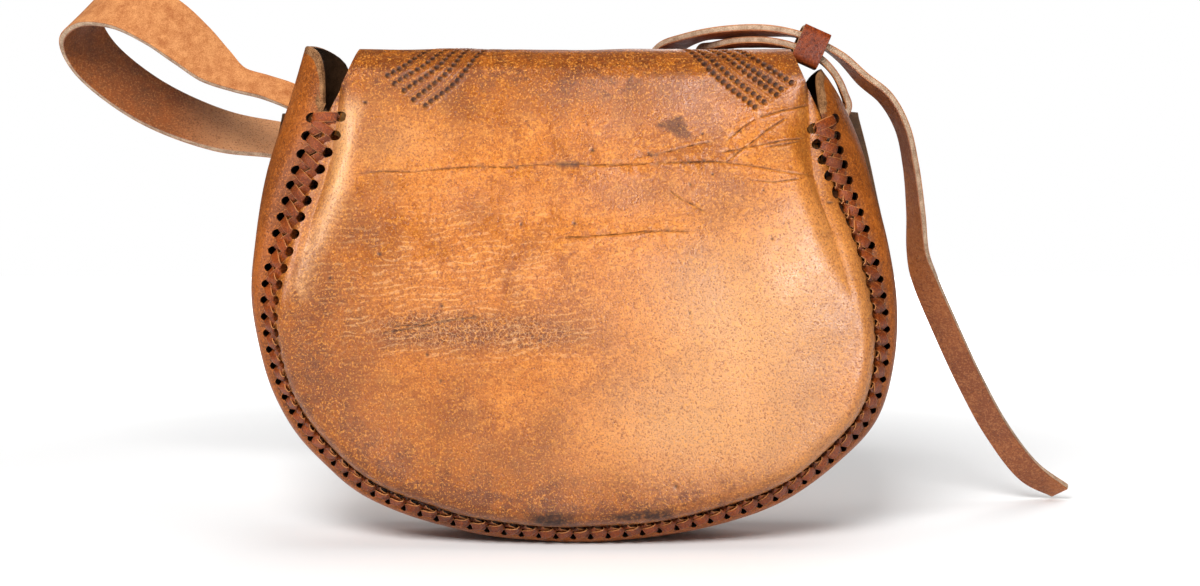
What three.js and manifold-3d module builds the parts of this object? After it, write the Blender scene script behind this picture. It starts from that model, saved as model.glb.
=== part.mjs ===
// Laced leather saddle bag with a fold-over flap, a side strip and a knotless shoulder strap.
// Millimetres, +Z up. The bag stands on the flattened middle of its side strip, which is the origin.
// The laced back faces -Y, the wide flap hangs down the front at +Y.

import * as THREE from "three";
import { mergeVertices } from "three/addons/utils/BufferGeometryUtils.js";
import Module from "manifold-3d";

// ---- driving dimensions ----

const PANEL_LEATHER = 3;
const GUSSET_LEATHER = 2.4;
const STRAP_LEATHER = 3;
const LACE_THICKNESS = 2;
const GAP = 0.3; // between pieces that touch
const SEAM_DEPTH = 26; // from the middle of the side strip to each of its turned-in edges
const EDGE_STATIONS = 32; // steps along each seam
const GUSSET_ACROSS = 10; // steps across the side strip
const EAR_STEPS = 4; // steps from the end of a seam to the rim of an ear

// The side strip's outline at mid depth, from the tip of an ear (first row) down to the bottom.
// left, right: half widths. inset_left, inset_right: how far the seam lies inside the outline.
// roundness: power of the strip's section, 2 is round and 4 is boxy.
// wall: how high the back panel's moulded wall stands on the seam. run: width of its rounded shoulder.
const OUTLINE = [
  { z: 225.5, left: 122.2, right: 103.5, inset_left: 20.5, inset_right: 12.0, roundness: 1.4, wall: 2.5, run: 12 },
  { z: 200.5, left: 129.6, right: 120.4, inset_left: 21.0, inset_right: 13.0, roundness: 1.8, wall: 2.5, run: 12 },
  { z: 166.0, left: 140.5, right: 133.8, inset_left: 20.5, inset_right: 18.0, roundness: 2.4, wall: 6.0, run: 12 },
  { z: 138.0, left: 145.0, right: 141.2, inset_left: 16.0, inset_right: 15.0, roundness: 3.0, wall: 10.5, run: 11 },
  { z: 110.0, left: 146.5, right: 145.8, inset_left: 12.0, inset_right: 12.5, roundness: 3.6, wall: 13.5, run: 10 },
  { z: 82.0, left: 141.8, right: 145.0, inset_left: 10.5, inset_right: 10.5, roundness: 4.0, wall: 14.0, run: 9 },
  { z: 56.0, left: 131.0, right: 137.0, inset_left: 10.0, inset_right: 10.0, roundness: 4.0, wall: 14.0, run: 9 },
  { z: 36.5, left: 115.3, right: 120.0, inset_left: 9.8, inset_right: 9.8, roundness: 4.0, wall: 14.0, run: 9 },
  { z: 19.5, left: 94.0, right: 97.2, inset_left: 9.6, inset_right: 9.6, roundness: 4.0, wall: 13.5, run: 9 },
  { z: 7.5, left: 63.2, right: 65.8, inset_left: 9.4, inset_right: 9.4, roundness: 4.0, wall: 13.0, run: 9 },
  { z: 1.2, left: 31.0, right: 33.6, inset_left: 9.2, inset_right: 9.2, roundness: 4.0, wall: 13.0, run: 9 },
  { z: -0.7, left: 0, right: 0, inset_left: 9.2, inset_right: 9.2, roundness: 4.0, wall: 13.0, run: 9 },
];

// The rims of the ears, across the strip from its back edge (-1) to its front edge (+1).
// left, right: how far the rim lies below the end of the strip.
const EAR_RIMS = [
  { across: -1.0, left: 23.5, right: 27.5 },
  { across: -0.8, left: 10.5, right: 23.0 },
  { across: -0.5, left: 1.0, right: 15.5 },
  { across: -0.2, left: 0.3, right: 14.0 },
  { across: 0.2, left: 0.3, right: 14.0 },
  { across: 0.5, left: 0.6, right: 15.0 },
  { across: 0.8, left: 4.5, right: 18.0 },
  { across: 1.0, left: 10.5, right: 20.5 },
];

// The fold over the top of the bag, and how deep the panels stand out from the seams.
const FOLD_HEIGHT = 222.5;
const FOLD_RADIUS = 13.5;
const FOLD_BACK = { edge: 33, middle: 38 };
const FOLD_FRONT = 40;
const BACK_BULGE = 4.5; // added to the back panel in its middle
const FRONT_TOP_HEIGHT = 191;
const FRONT_TOP_HALF = 94;
const FRONT_TOP_DEPTH = 34;
const FRONT_WALL_SHARE = 0.58; // the front panel's wall as a share of the back panel's
const FRONT_LEAST_WALL = 3;
const FRONT_BULGE = 1.5;

// The neck that joins the back panel to the flap: its half width at each height.
const NECK = [
  { z: 222.5, half: 95.6 },
  { z: 209.0, half: 101.6 },
  { z: 194.2, half: 109.3 },
];

// The flap below its neck: half widths and how far its outer face stands in front of the bag's middle.
const FLAP = [
  { z: 193.2, left: 138.5, right: 132.8, depth: 42.0 },
  { z: 176.0, left: 142.5, right: 137.5, depth: 43.0 },
  { z: 153.0, left: 147.0, right: 142.8, depth: 44.0 },
  { z: 130.0, left: 151.8, right: 148.0, depth: 44.4 },
  { z: 108.0, left: 152.8, right: 150.2, depth: 44.4 },
  { z: 85.0, left: 147.0, right: 148.0, depth: 44.0 },
  { z: 63.0, left: 131.5, right: 135.5, depth: 43.2 },
  { z: 44.0, left: 108.0, right: 112.0, depth: 42.2 },
  { z: 30.0, left: 75.0, right: 78.0, depth: 41.2 },
  { z: 22.5, left: 30.0, right: 31.0, depth: 40.5 },
];
const FLAP_EDGE_DROP = 4; // how much nearer to the bag the flap's side edges lie

// Broad dents in the back panel: centre, half size and depth.
const BACK_DENTS = [
  { x: -60, z: 66, wide: 48, high: 30, depth: 1.4 },
  { x: 20, z: 150, wide: 90, high: 12, depth: 1.0 },
  { x: 78, z: 182, wide: 30, high: 14, depth: 0.9 },
];

// Each strap is a flat ribbon. Its route gives the middle, the width and the direction across it.
const SHOULDER_STRAP = [
  { x: -117.0, y: 9.5, z: 178.0, wide: 12, ax: -0.6, ay: -0.8, az: 0 },
  { x: -118.5, y: 10.0, z: 189.0, wide: 12, ax: -0.55, ay: -0.78, az: -0.2 },
  { x: -123.5, y: 10.5, z: 197.5, wide: 12, ax: -0.42, ay: -0.52, az: -0.7 },
  { x: -131.0, y: 11.0, z: 201.8, wide: 12, ax: -0.2, ay: -0.5, az: -0.85 },
  { x: -143.0, y: 12.5, z: 206.0, wide: 12, ax: -0.05, ay: -0.6, az: -0.78 },
  { x: -155.5, y: 13.5, z: 209.5, wide: 13, ax: -0.05, ay: -0.56, az: -0.82 },
  { x: -167.0, y: 16.0, z: 216.2, wide: 21, ax: -0.2, ay: -0.58, az: -0.78 },
  { x: -178.0, y: 18.0, z: 225.6, wide: 25, ax: -0.42, ay: -0.55, az: -0.72 },
  { x: -191.0, y: 19.5, z: 235.8, wide: 27, ax: -0.53, ay: -0.49, az: -0.7 },
  { x: -207.0, y: 22.5, z: 243.6, wide: 28, ax: -0.53, ay: -0.5, az: -0.69 },
  { x: -223.0, y: 30.5, z: 244.2, wide: 28, ax: -0.54, ay: -0.5, az: -0.67 },
  { x: -233.6, y: 41.0, z: 237.4, wide: 27.5, ax: -0.53, ay: -0.54, az: -0.66 },
  { x: -234.8, y: 50.0, z: 228.6, wide: 26.5, ax: -0.51, ay: -0.57, az: -0.65 },
  { x: -228.5, y: 56.0, z: 217.5, wide: 26, ax: -0.48, ay: -0.58, az: -0.65 },
  { x: -205.0, y: 60.5, z: 199.0, wide: 25.5, ax: -0.34, ay: -0.61, az: -0.72 },
  { x: -172.0, y: 62.0, z: 185.2, wide: 26, ax: -0.08, ay: -0.74, az: -0.67 },
  { x: -144.5, y: 60.0, z: 180.8, wide: 26, ax: 0.06, ay: -0.82, az: -0.57 },
  { x: -116.0, y: 57.2, z: 176.5, wide: 26, ax: 0.04, ay: -0.76, az: -0.65 },
  { x: -82.0, y: 52.5, z: 172.0, wide: 26, ax: 0, ay: -0.52, az: -0.85 },
  { x: -44.0, y: 48.6, z: 171.0, wide: 24, ax: 0, ay: -0.15, az: -1 },
  { x: -10.0, y: 47.3, z: 177.5, wide: 18, ax: 0.15, ay: 0, az: -1 },
  { x: 18.0, y: 46.0, z: 192.0, wide: 13, ax: 0.4, ay: 0.1, az: -0.9 },
  { x: 34.0, y: 44.4, z: 208.5, wide: 12, ax: 0.7, ay: 0.25, az: -0.65 },
  { x: 42.0, y: 37.8, z: 222.6, wide: 12, ax: 0.78, ay: 0.55, az: -0.3 },
  { x: 54.0, y: 22.0, z: 228.8, wide: 12, ax: 0.75, ay: 0.66, az: -0.05 },
  { x: 71.5, y: 7.0, z: 230.9, wide: 12, ax: 0.5, ay: 0.86, az: -0.25 },
  { x: 88.0, y: 1.5, z: 231.4, wide: 11.6, ax: 0.15, ay: 1, az: -0.2 },
  { x: 101.8, y: 0, z: 229.5, wide: 11.2, ax: 0, ay: 1, az: 0 },
  { x: 113.2, y: 0.2, z: 224.5, wide: 11.2, ax: 0, ay: 1, az: 0 },
  { x: 121.5, y: 1.4, z: 219.0, wide: 11.6, ax: -0.04, ay: 1, az: -0.12 },
  { x: 131.0, y: 3.0, z: 209.8, wide: 12, ax: -0.1, ay: 0.97, az: -0.25 },
  { x: 142.0, y: 6.5, z: 200.8, wide: 12, ax: -0.12, ay: 0.96, az: -0.28 },
  { x: 150.4, y: 12.0, z: 187.5, wide: 12, ax: -0.14, ay: 0.96, az: -0.22 },
  { x: 155.6, y: 19.5, z: 170.0, wide: 12, ax: -0.2, ay: 0.93, az: -0.16 },
  { x: 159.6, y: 29.0, z: 147.0, wide: 12, ax: -0.35, ay: 0.88, az: -0.1 },
  { x: 161.8, y: 36.5, z: 128.5, wide: 12, ax: -0.55, ay: 0.8, az: -0.08 },
  { x: 165.4, y: 41.5, z: 116.5, wide: 12.5, ax: -0.74, ay: 0.58, az: -0.15 },
  { x: 177.0, y: 52.0, z: 92.0, wide: 12.5, ax: -0.8, ay: 0.48, az: -0.3 },
  { x: 192.5, y: 64.0, z: 62.0, wide: 12.5, ax: -0.8, ay: 0.46, az: -0.34 },
  { x: 207.5, y: 74.0, z: 37.0, wide: 12.5, ax: -0.78, ay: 0.45, az: -0.4 },
  { x: 225.5, y: 83.5, z: 15.0, wide: 12.5, ax: -0.72, ay: 0.4, az: -0.5 },
  { x: 242.0, y: 90.0, z: 4.6, wide: 11, ax: -0.5, ay: 0.6, az: -0.4 },
];

const SHORT_STRAP = [
  { x: 114.0, y: 8.5, z: 168.0, wide: 12, ax: 0, ay: 1, az: 0 },
  { x: 116.0, y: 8.4, z: 179.0, wide: 12, ax: 0, ay: 1, az: 0 },
  { x: 120.2, y: 8.2, z: 187.5, wide: 12, ax: 0, ay: 1, az: 0 },
  { x: 124.6, y: 8.0, z: 196.8, wide: 12, ax: 0, ay: 1, az: 0 },
  { x: 122.4, y: 6.0, z: 204.2, wide: 12, ax: 0, ay: 1, az: 0.1 },
  { x: 118.6, y: 3.4, z: 211.2, wide: 11.6, ax: 0, ay: 1, az: 0.1 },
  { x: 110.8, y: 0.2, z: 218.9, wide: 11, ax: 0, ay: 1, az: 0 },
  { x: 99.4, y: 0, z: 224.2, wide: 11, ax: 0, ay: 1, az: 0 },
  { x: 88.0, y: 1.5, z: 226.1, wide: 11.6, ax: 0.1, ay: 1, az: -0.15 },
  { x: 77.0, y: 7.0, z: 226.2, wide: 12, ax: 0.55, ay: 0.83, az: -0.15 },
  { x: 68.0, y: 18.0, z: 225.2, wide: 12, ax: 0.82, ay: 0.57, az: 0 },
  { x: 63.0, y: 31.0, z: 224.1, wide: 12, ax: 0.95, ay: 0.3, az: 0 },
  { x: 61.0, y: 42.4, z: 217.0, wide: 12, ax: 1, ay: 0.1, az: 0 },
  { x: 60.2, y: 44.2, z: 203.0, wide: 12, ax: 1, ay: 0, az: 0 },
  { x: 59.5, y: 46.2, z: 175.0, wide: 12, ax: 1, ay: 0, az: 0 },
];

// The rolled ring that holds both straps together beside the fold.
const KEEPER = { x: 106.3, y: 0, z: 224.3, tilt: 24, length: 12.5, high: 16.5, deep: 17.5, wall: 2.2, squareness: 6 };

const SHOULDER_STRAP_STEPS = 76;
const SHORT_STRAP_STEPS = 30;
const SLIT_CLEARANCE = 0.6; // around a strap where it passes through an ear

// ---- colours ----

const tan = new THREE.MeshStandardMaterial({ color: "#b9763a", roughness: 0.5 });
const sideTan = new THREE.MeshStandardMaterial({ color: "#a8632c", roughness: 0.5 });
const laceBrown = new THREE.MeshStandardMaterial({ color: "#5a2a1c", roughness: 0.6 });
const suede = new THREE.MeshStandardMaterial({ color: "#bf8450", roughness: 0.85 });
const redBrown = new THREE.MeshStandardMaterial({ color: "#8f4a26", roughness: 0.45 });

// ---- curves and tables ----

const mix = THREE.MathUtils.lerp;
const ease = (q) => q * q * (3 - 2 * q);

// A smooth function through the rows of a table: column `value` against the rising or falling column `at`.
function column(rows, at, value) {
  const rising = rows[rows.length - 1][at] > rows[0][at];
  const sorted = rising ? rows : [...rows].reverse();
  return (x) => {
    let i = 0;
    while (i < sorted.length - 2 && x > sorted[i + 1][at]) i += 1;
    const a = sorted[i];
    const b = sorted[i + 1];
    const q = THREE.MathUtils.clamp((x - a[at]) / (b[at] - a[at]), 0, 1);
    const before = sorted[Math.max(i - 1, 0)];
    const after = sorted[Math.min(i + 2, sorted.length - 1)];
    const slopeA = ((b[value] - before[value]) / (b[at] - before[at])) * (b[at] - a[at]);
    const slopeB = ((after[value] - a[value]) / (after[at] - a[at])) * (b[at] - a[at]);
    return hermite(a[value], slopeA, b[value], slopeB, q);
  };
}

function hermite(a, slopeA, b, slopeB, q) {
  const q2 = q * q;
  const q3 = q2 * q;
  return a * (2 * q3 - 3 * q2 + 1) + slopeA * (q3 - 2 * q2 + q) + b * (3 * q2 - 2 * q3) + slopeB * (q3 - q2);
}

// ---- the outline, walked from the left ear's tip round the bottom to the right ear's tip ----

const leftRows = OUTLINE.map((r) => ({ ...r, x: -r.left, inset: r.inset_left }));
const rightRows = OUTLINE.slice(0, -1).map((r) => ({ ...r, x: r.right, inset: r.inset_right })).reverse();
const walk = [...leftRows, ...rightRows];
const outlineCurve = new THREE.CatmullRomCurve3(walk.map((r) => new THREE.Vector3(r.x, 0, r.z)));
const shapeCurve = new THREE.CatmullRomCurve3(
  walk.map((r) => new THREE.Vector3(r.inset, r.roundness, 0)),
  false,
  "catmullrom",
);
const wallCurve = new THREE.CatmullRomCurve3(
  walk.map((r) => new THREE.Vector3(r.wall, r.run, 0)),
  false,
  "catmullrom",
);
outlineCurve.arcLengthDivisions = 1200;
const outlineLength = outlineCurve.getLength();
const lengths = outlineCurve.getLengths();
const arcOfRow = (row) => lengths[Math.round((row / (walk.length - 1)) * outlineCurve.arcLengthDivisions)];
const LEFT_NOTCH_ARC = arcOfRow(1);
const RIGHT_NOTCH_ARC = arcOfRow(walk.length - 2);

// Everything known about the strip at one distance along the outline.
function station(arc) {
  const t = outlineCurve.getUtoTmapping(0, THREE.MathUtils.clamp(arc, 0, outlineLength));
  const point = outlineCurve.getPoint(t);
  const along = outlineCurve.getTangent(t);
  const shape = shapeCurve.getPoint(t);
  const wall = wallCurve.getPoint(t);
  return {
    x: point.x,
    z: point.z,
    inX: -along.z,
    inZ: along.x,
    inset: shape.x,
    roundness: shape.y,
    wall: wall.x,
    run: wall.y,
  };
}

// The stations of the seams. share runs from -1 at the left notch to 1 at the right notch.
const seamStations = [];
for (let k = 0; k <= EDGE_STATIONS; k += 1) {
  const s = station(mix(LEFT_NOTCH_ARC, RIGHT_NOTCH_ARC, k / EDGE_STATIONS));
  seamStations.push({ ...s, share: (2 * k) / EDGE_STATIONS - 1 });
}

// A point n inside the outline, at depth y. The resting face is flattened at z = 0.
function insideOutline(s, n, y) {
  return new THREE.Vector3(s.x + s.inX * n, y, Math.max(s.z + s.inZ * n, 0));
}

// The strip's section: across runs from the back edge (-1) to the front edge (+1).
function stripSection(s, across) {
  const angle = (across * Math.PI) / 2;
  const power = 2 / s.roundness;
  return {
    n: s.inset * (1 - Math.abs(Math.cos(angle)) ** power),
    y: Math.sign(across) * SEAM_DEPTH * Math.abs(Math.sin(angle)) ** power,
  };
}

// ---- closed solids from grids of points ----

// Turns a grid of outer points and a matching grid of inner points into one closed skin.
function gridGeometry(outer, inner) {
  const rows = outer.length;
  const cols = outer[0].length;
  const positions = [...outer.flat(), ...inner.flat()].flatMap((p) => [p.x, p.y, p.z]);
  const at = (r, c, layer) => layer * rows * cols + r * cols + c;
  const index = [];
  const quad = (a, b, c, d) => index.push(a, b, c, a, c, d);
  for (let r = 0; r < rows - 1; r += 1) {
    for (let c = 0; c < cols - 1; c += 1) {
      quad(at(r, c, 0), at(r + 1, c, 0), at(r + 1, c + 1, 0), at(r, c + 1, 0));
      quad(at(r, c, 1), at(r, c + 1, 1), at(r + 1, c + 1, 1), at(r + 1, c, 1));
    }
  }
  for (let r = 0; r < rows - 1; r += 1) {
    quad(at(r, 0, 0), at(r, 0, 1), at(r + 1, 0, 1), at(r + 1, 0, 0));
    quad(at(r, cols - 1, 1), at(r, cols - 1, 0), at(r + 1, cols - 1, 0), at(r + 1, cols - 1, 1));
  }
  for (let c = 0; c < cols - 1; c += 1) {
    quad(at(0, c, 1), at(0, c, 0), at(0, c + 1, 0), at(0, c + 1, 1));
    quad(at(rows - 1, c, 0), at(rows - 1, c, 1), at(rows - 1, c + 1, 1), at(rows - 1, c + 1, 0));
  }
  const geometry = new THREE.BufferGeometry();
  geometry.setAttribute("position", new THREE.Float32BufferAttribute(positions, 3));
  geometry.setIndex(index);
  return facingOut(geometry);
}

function signedVolume(geometry) {
  const p = geometry.getAttribute("position");
  const index = geometry.getIndex().array;
  const corners = [new THREE.Vector3(), new THREE.Vector3(), new THREE.Vector3()];
  let sum = 0;
  for (let i = 0; i < index.length; i += 3) {
    corners.forEach((corner, j) => corner.fromBufferAttribute(p, index[i + j]));
    sum += corners[0].dot(corners[1].clone().cross(corners[2])) / 6;
  }
  return sum;
}

function facingOut(geometry) {
  if (signedVolume(geometry) < 0) {
    const index = Array.from(geometry.getIndex().array);
    for (let i = 0; i < index.length; i += 3) [index[i + 1], index[i + 2]] = [index[i + 2], index[i + 1]];
    geometry.setIndex(index);
  }
  return geometry;
}

// The surface direction at each point of a grid, from its neighbours.
function gridNormals(grid) {
  const last = grid.length - 1;
  return grid.map((row, r) =>
    row.map((_, c) => {
      const along = grid[Math.min(r + 1, last)][c].clone().sub(grid[Math.max(r - 1, 0)][c]);
      const across = row[Math.min(c + 1, row.length - 1)].clone().sub(row[Math.max(c - 1, 0)]);
      return along.cross(across).normalize();
    }),
  );
}

function offsetGrid(grid, distance) {
  const normals = gridNormals(grid);
  return grid.map((row, r) => row.map((p, c) => p.clone().addScaledVector(normals[r][c], distance)));
}

// ---- the side strip with its two ears ----

const leftRim = column(EAR_RIMS, "across", "left");
const rightRim = column(EAR_RIMS, "across", "right");

function stripRow(arcOf) {
  const row = [];
  for (let c = 0; c <= GUSSET_ACROSS; c += 1) {
    const across = mix(-1, 1, c / GUSSET_ACROSS);
    const s = station(arcOf(across));
    const { n, y } = stripSection(s, across);
    row.push(insideOutline(s, n, y));
  }
  return row;
}

function stripSurface() {
  const rows = [];
  for (let j = 0; j < EAR_STEPS; j += 1) {
    rows.push(stripRow((across) => mix(leftRim(across), LEFT_NOTCH_ARC, j / EAR_STEPS)));
  }
  for (let k = 0; k <= EDGE_STATIONS; k += 1) {
    rows.push(stripRow(() => mix(LEFT_NOTCH_ARC, RIGHT_NOTCH_ARC, k / EDGE_STATIONS)));
  }
  for (let j = EAR_STEPS - 1; j >= 0; j -= 1) {
    rows.push(stripRow((across) => mix(outlineLength - rightRim(across), RIGHT_NOTCH_ARC, j / EAR_STEPS)));
  }
  return rows;
}

function gussetGeometry() {
  const outer = stripSurface();
  const inner = offsetGrid(outer, GUSSET_LEATHER);
  // The turned-in edges are cut square, so that each panel butts against a flat edge.
  outer.forEach((row, r) => {
    inner[r][0].copy(row[0]).setY(row[0].y + GUSSET_LEATHER);
    inner[r][GUSSET_ACROSS].copy(row[GUSSET_ACROSS]).setY(row[GUSSET_ACROSS].y - GUSSET_LEATHER);
  });
  return gridGeometry(outer, inner);
}

// ---- moulded panels ----

// Height of the moulded wall above the seam plane, at an angle of 0 to 90 degrees round its shoulder.
function shoulder(s, wall, degrees) {
  const angle = THREE.MathUtils.degToRad(degrees);
  return { n: s.inset + GAP + s.run * (1 - Math.cos(angle) ** 0.9), h: wall * Math.sin(angle) ** 0.9 };
}

const PANEL_WALL_ANGLES = [0, 22, 45, 68, 90];
const PANEL_FACE_STEPS = 5;
const EDGE_POWER = 4; // how quickly the columns near a panel's free edge turn to run along it

// The way a panel leaves the seam: square to it, but along the free edge at both ends.
function panelLean(s, top) {
  const footX = s.x + s.inX * s.inset;
  const footZ = s.z + s.inZ * s.inset;
  const away = Math.hypot(top.x - footX, top.z - footZ);
  const nearEdge = s.share ** EDGE_POWER;
  const x = mix(s.inX, (top.x - footX) / away, nearEdge);
  const z = mix(s.inZ, (top.z - footZ) / away, nearEdge);
  const length = Math.hypot(x, z);
  return { x: x / length, z: z / length };
}

// A point n inside the outline, which past the seam follows the panel's lean.
function pastSeam(s, lean, n, y) {
  const foot = insideOutline(s, Math.min(n, s.inset + GAP), y);
  const past = Math.max(n - s.inset - GAP, 0);
  return foot.add(new THREE.Vector3(lean.x * past, 0, lean.z * past));
}

// One column of a panel, from the seam over the shoulder and up the face to its top line.
// top: { x, z, depth } where the column ends. bulge: added depth half way up.
function panelColumn(s, side, wall, top, bulge) {
  const lean = panelLean(s, top);
  const points = [pastSeam(s, lean, s.inset + GAP, side * (SEAM_DEPTH - GUSSET_LEATHER))];
  for (const degrees of PANEL_WALL_ANGLES) {
    const { n, h } = shoulder(s, wall, degrees);
    points.push(pastSeam(s, lean, n, side * (SEAM_DEPTH + h)));
  }
  const start = points[points.length - 1];
  for (let j = 1; j <= PANEL_FACE_STEPS; j += 1) {
    const q = j / PANEL_FACE_STEPS;
    const depth = mix(SEAM_DEPTH + wall, top.depth, ease(q)) + bulge * Math.sin(Math.PI * q) ** 2;
    points.push(new THREE.Vector3(mix(start.x, top.x, q), side * depth, mix(start.z, top.z, q)));
  }
  return points;
}

function dent(point) {
  let y = point.y;
  for (const d of BACK_DENTS) {
    const r = ((point.x - d.x) / d.wide) ** 2 + ((point.z - d.z) / d.high) ** 2;
    y += d.depth * Math.exp(-r);
  }
  return new THREE.Vector3(point.x, y, point.z);
}

// ---- back panel, neck and flap in one piece ----

const neckHalf = column(NECK, "z", "half");
const flapLeft = column(FLAP, "z", "left");
const flapRight = column(FLAP, "z", "right");
const flapDepth = column(FLAP, "z", "depth");
const ROLL_ANGLES = [30, 60, 90];
const ROLL_START = FOLD_HEIGHT - FOLD_RADIUS;
const NECK_HEIGHTS = [201, 194.2];
const FLAP_HEIGHTS = [193.2, 178, 158, 135, 110, 86, 64, 45, 30, 22.5];

function backTop(s) {
  const depth = mix(FOLD_BACK.middle, FOLD_BACK.edge, s.share * s.share);
  return { x: s.share * neckHalf(ROLL_START), z: ROLL_START, depth };
}

function backWall(s) {
  return s.wall;
}

function backColumn(s) {
  const points = panelColumn(s, -1, backWall(s), backTop(s), BACK_BULGE * (1 - s.share ** 4));
  return [...points.slice(0, 2), ...points.slice(2).map(dent)];
}

// The fold, as points from the back face over the top to the front face.
function rollColumn(share, backY) {
  const points = [];
  const roll = (middleY, side, degrees) => {
    const angle = THREE.MathUtils.degToRad(degrees);
    const z = ROLL_START + FOLD_RADIUS * Math.sin(angle);
    const y = middleY + side * FOLD_RADIUS * Math.cos(angle);
    points.push(new THREE.Vector3(share * neckHalf(z), y, z));
  };
  for (const degrees of ROLL_ANGLES) roll(backY + FOLD_RADIUS, -1, degrees);
  for (const degrees of [...ROLL_ANGLES, 0].sort((a, b) => b - a)) roll(FOLD_FRONT - FOLD_RADIUS, 1, degrees);
  return points;
}

function flapColumn(share) {
  const points = [];
  for (const z of NECK_HEIGHTS) {
    const q = (ROLL_START - z) / (ROLL_START - FLAP[0].z);
    points.push(new THREE.Vector3(share * neckHalf(z), mix(FOLD_FRONT, FLAP[0].depth, q), z));
  }
  for (const z of FLAP_HEIGHTS) {
    const half = share < 0 ? flapLeft(z) : flapRight(z);
    const y = flapDepth(z) - FLAP_EDGE_DROP * share ** 4;
    points.push(new THREE.Vector3(share * half, y, z));
  }
  return points;
}

function backFlapGeometry() {
  const columns = seamStations.map((s) => {
    const back = backColumn(s);
    const backY = back[back.length - 1].y;
    return [...back, ...rollColumn(s.share, backY), ...flapColumn(s.share)];
  });
  return gridGeometry(columns, offsetGrid(columns, -PANEL_LEATHER));
}

// ---- front panel under the flap ----

function frontTop(s) {
  return { x: s.share * FRONT_TOP_HALF, z: FRONT_TOP_HEIGHT, depth: FRONT_TOP_DEPTH };
}

function frontWall(s) {
  return Math.max(s.wall * FRONT_WALL_SHARE, FRONT_LEAST_WALL);
}

function frontPanelGeometry() {
  const columns = seamStations.map((s) =>
    panelColumn(s, 1, frontWall(s), frontTop(s), FRONT_BULGE * (1 - s.share ** 4)),
  );
  return gridGeometry(columns, offsetGrid(columns, PANEL_LEATHER));
}

// ---- lacing, as the band that the crossed thongs fill along each seam ----

const LACE_REACH = 7.5; // how far the band lies over the strip's turned-in edge
const LACE_MOST_OF_INSET = 0.6; // and no more of a narrow turned-in edge than this
const LACE_WALL_ANGLES = [8, 30, 52];
const LACE_GAP = 0.48; // the faceted band keeps off the leather by a little more than GAP

// The band's inner line in the seam's section, from over the strip to over the panel.
function laceLine(s, wall) {
  const most = Math.min(LACE_REACH, s.inset * LACE_MOST_OF_INSET);
  const flange = [most, most / 2].map((reach) => {
    const n = s.inset - reach;
    const c = 1 - n / s.inset;
    const angle = Math.acos(THREE.MathUtils.clamp(c ** (s.roundness / 2), 0, 1));
    return { n, h: SEAM_DEPTH * (Math.sin(angle) ** (2 / s.roundness) - 1) };
  });
  const corner = { n: s.inset, h: 0 };
  const panel = LACE_WALL_ANGLES.map((degrees) => shoulder(s, wall, degrees));
  return [...flange, corner, ...panel];
}

// Moves a line in the section outwards, keeping its corners sharp.
function offsetLine(line, distance) {
  const directions = line.slice(1).map((p, i) => {
    const length = Math.hypot(p.n - line[i].n, p.h - line[i].h);
    return { n: (p.n - line[i].n) / length, h: (p.h - line[i].h) / length };
  });
  return line.map((p, i) => {
    const a = directions[Math.max(i - 1, 0)];
    const b = directions[Math.min(i, directions.length - 1)];
    const miter = distance / (1 + a.n * b.n + a.h * b.h);
    return { n: p.n - (a.h + b.h) * miter, h: p.h + (a.n + b.n) * miter };
  });
}

function lacingGeometry(side, wallOf, topOf) {
  const layer = (distance) =>
    seamStations.map((s) => {
      const lean = panelLean(s, topOf(s));
      const line = offsetLine(laceLine(s, wallOf(s)), distance);
      return line.map((p) => pastSeam(s, lean, p.n, side * (SEAM_DEPTH + p.h)));
    });
  return gridGeometry(layer(LACE_GAP + LACE_THICKNESS), layer(LACE_GAP));
}

// ---- straps ----

function ribbonGeometry(route, steps, grow = 0, from = 0, to = 1) {
  const middle = new THREE.CatmullRomCurve3(route.map((r) => new THREE.Vector3(r.x, r.y, r.z)));
  const across = new THREE.CatmullRomCurve3(
    route.map((r) => new THREE.Vector3(r.ax, r.ay, r.az)),
    false,
    "catmullrom",
  );
  const widths = new THREE.CatmullRomCurve3(
    route.map((r) => new THREE.Vector3(r.wide, 0, 0)),
    false,
    "catmullrom",
  );
  const outer = [];
  const inner = [];
  for (let i = 0; i <= steps; i += 1) {
    const t = mix(from, to, i / steps);
    const point = middle.getPoint(t);
    const along = middle.getTangent(t);
    const sideways = across.getPoint(t);
    sideways.addScaledVector(along, -sideways.dot(along)).normalize();
    const up = along.clone().cross(sideways);
    const half = widths.getPoint(t).x / 2 + grow;
    const rise = STRAP_LEATHER / 2 + grow;
    const corner = (a, b) => point.clone().addScaledVector(sideways, a * half).addScaledVector(up, b * rise);
    outer.push([corner(-1, 1), corner(1, 1)]);
    inner.push([corner(-1, -1), corner(1, -1)]);
  }
  return gridGeometry(outer, inner);
}

// ---- keeper ring ----

function keeperGeometry() {
  const loop = (halfWide, halfHigh) => {
    const points = [];
    const corners = 20;
    for (let i = 0; i < corners; i += 1) {
      const angle = (i / corners) * 2 * Math.PI;
      const power = 2 / KEEPER.squareness;
      const c = Math.cos(angle);
      const s = Math.sin(angle);
      points.push(
        new THREE.Vector2(
          halfWide * Math.sign(c) * Math.abs(c) ** power,
          halfHigh * Math.sign(s) * Math.abs(s) ** power,
        ),
      );
    }
    return points;
  };
  const ring = new THREE.Shape(loop(KEEPER.high / 2, KEEPER.deep / 2));
  ring.holes.push(new THREE.Path(loop(KEEPER.high / 2 - KEEPER.wall, KEEPER.deep / 2 - KEEPER.wall)));
  const geometry = new THREE.ExtrudeGeometry(ring, { depth: KEEPER.length, bevelEnabled: false });
  geometry.translate(0, 0, -KEEPER.length / 2);
  geometry.rotateY(Math.PI / 2);
  return geometry;
}

// ---- cutting the slits ----

const wasm = await Module();
wasm.setup();

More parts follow.
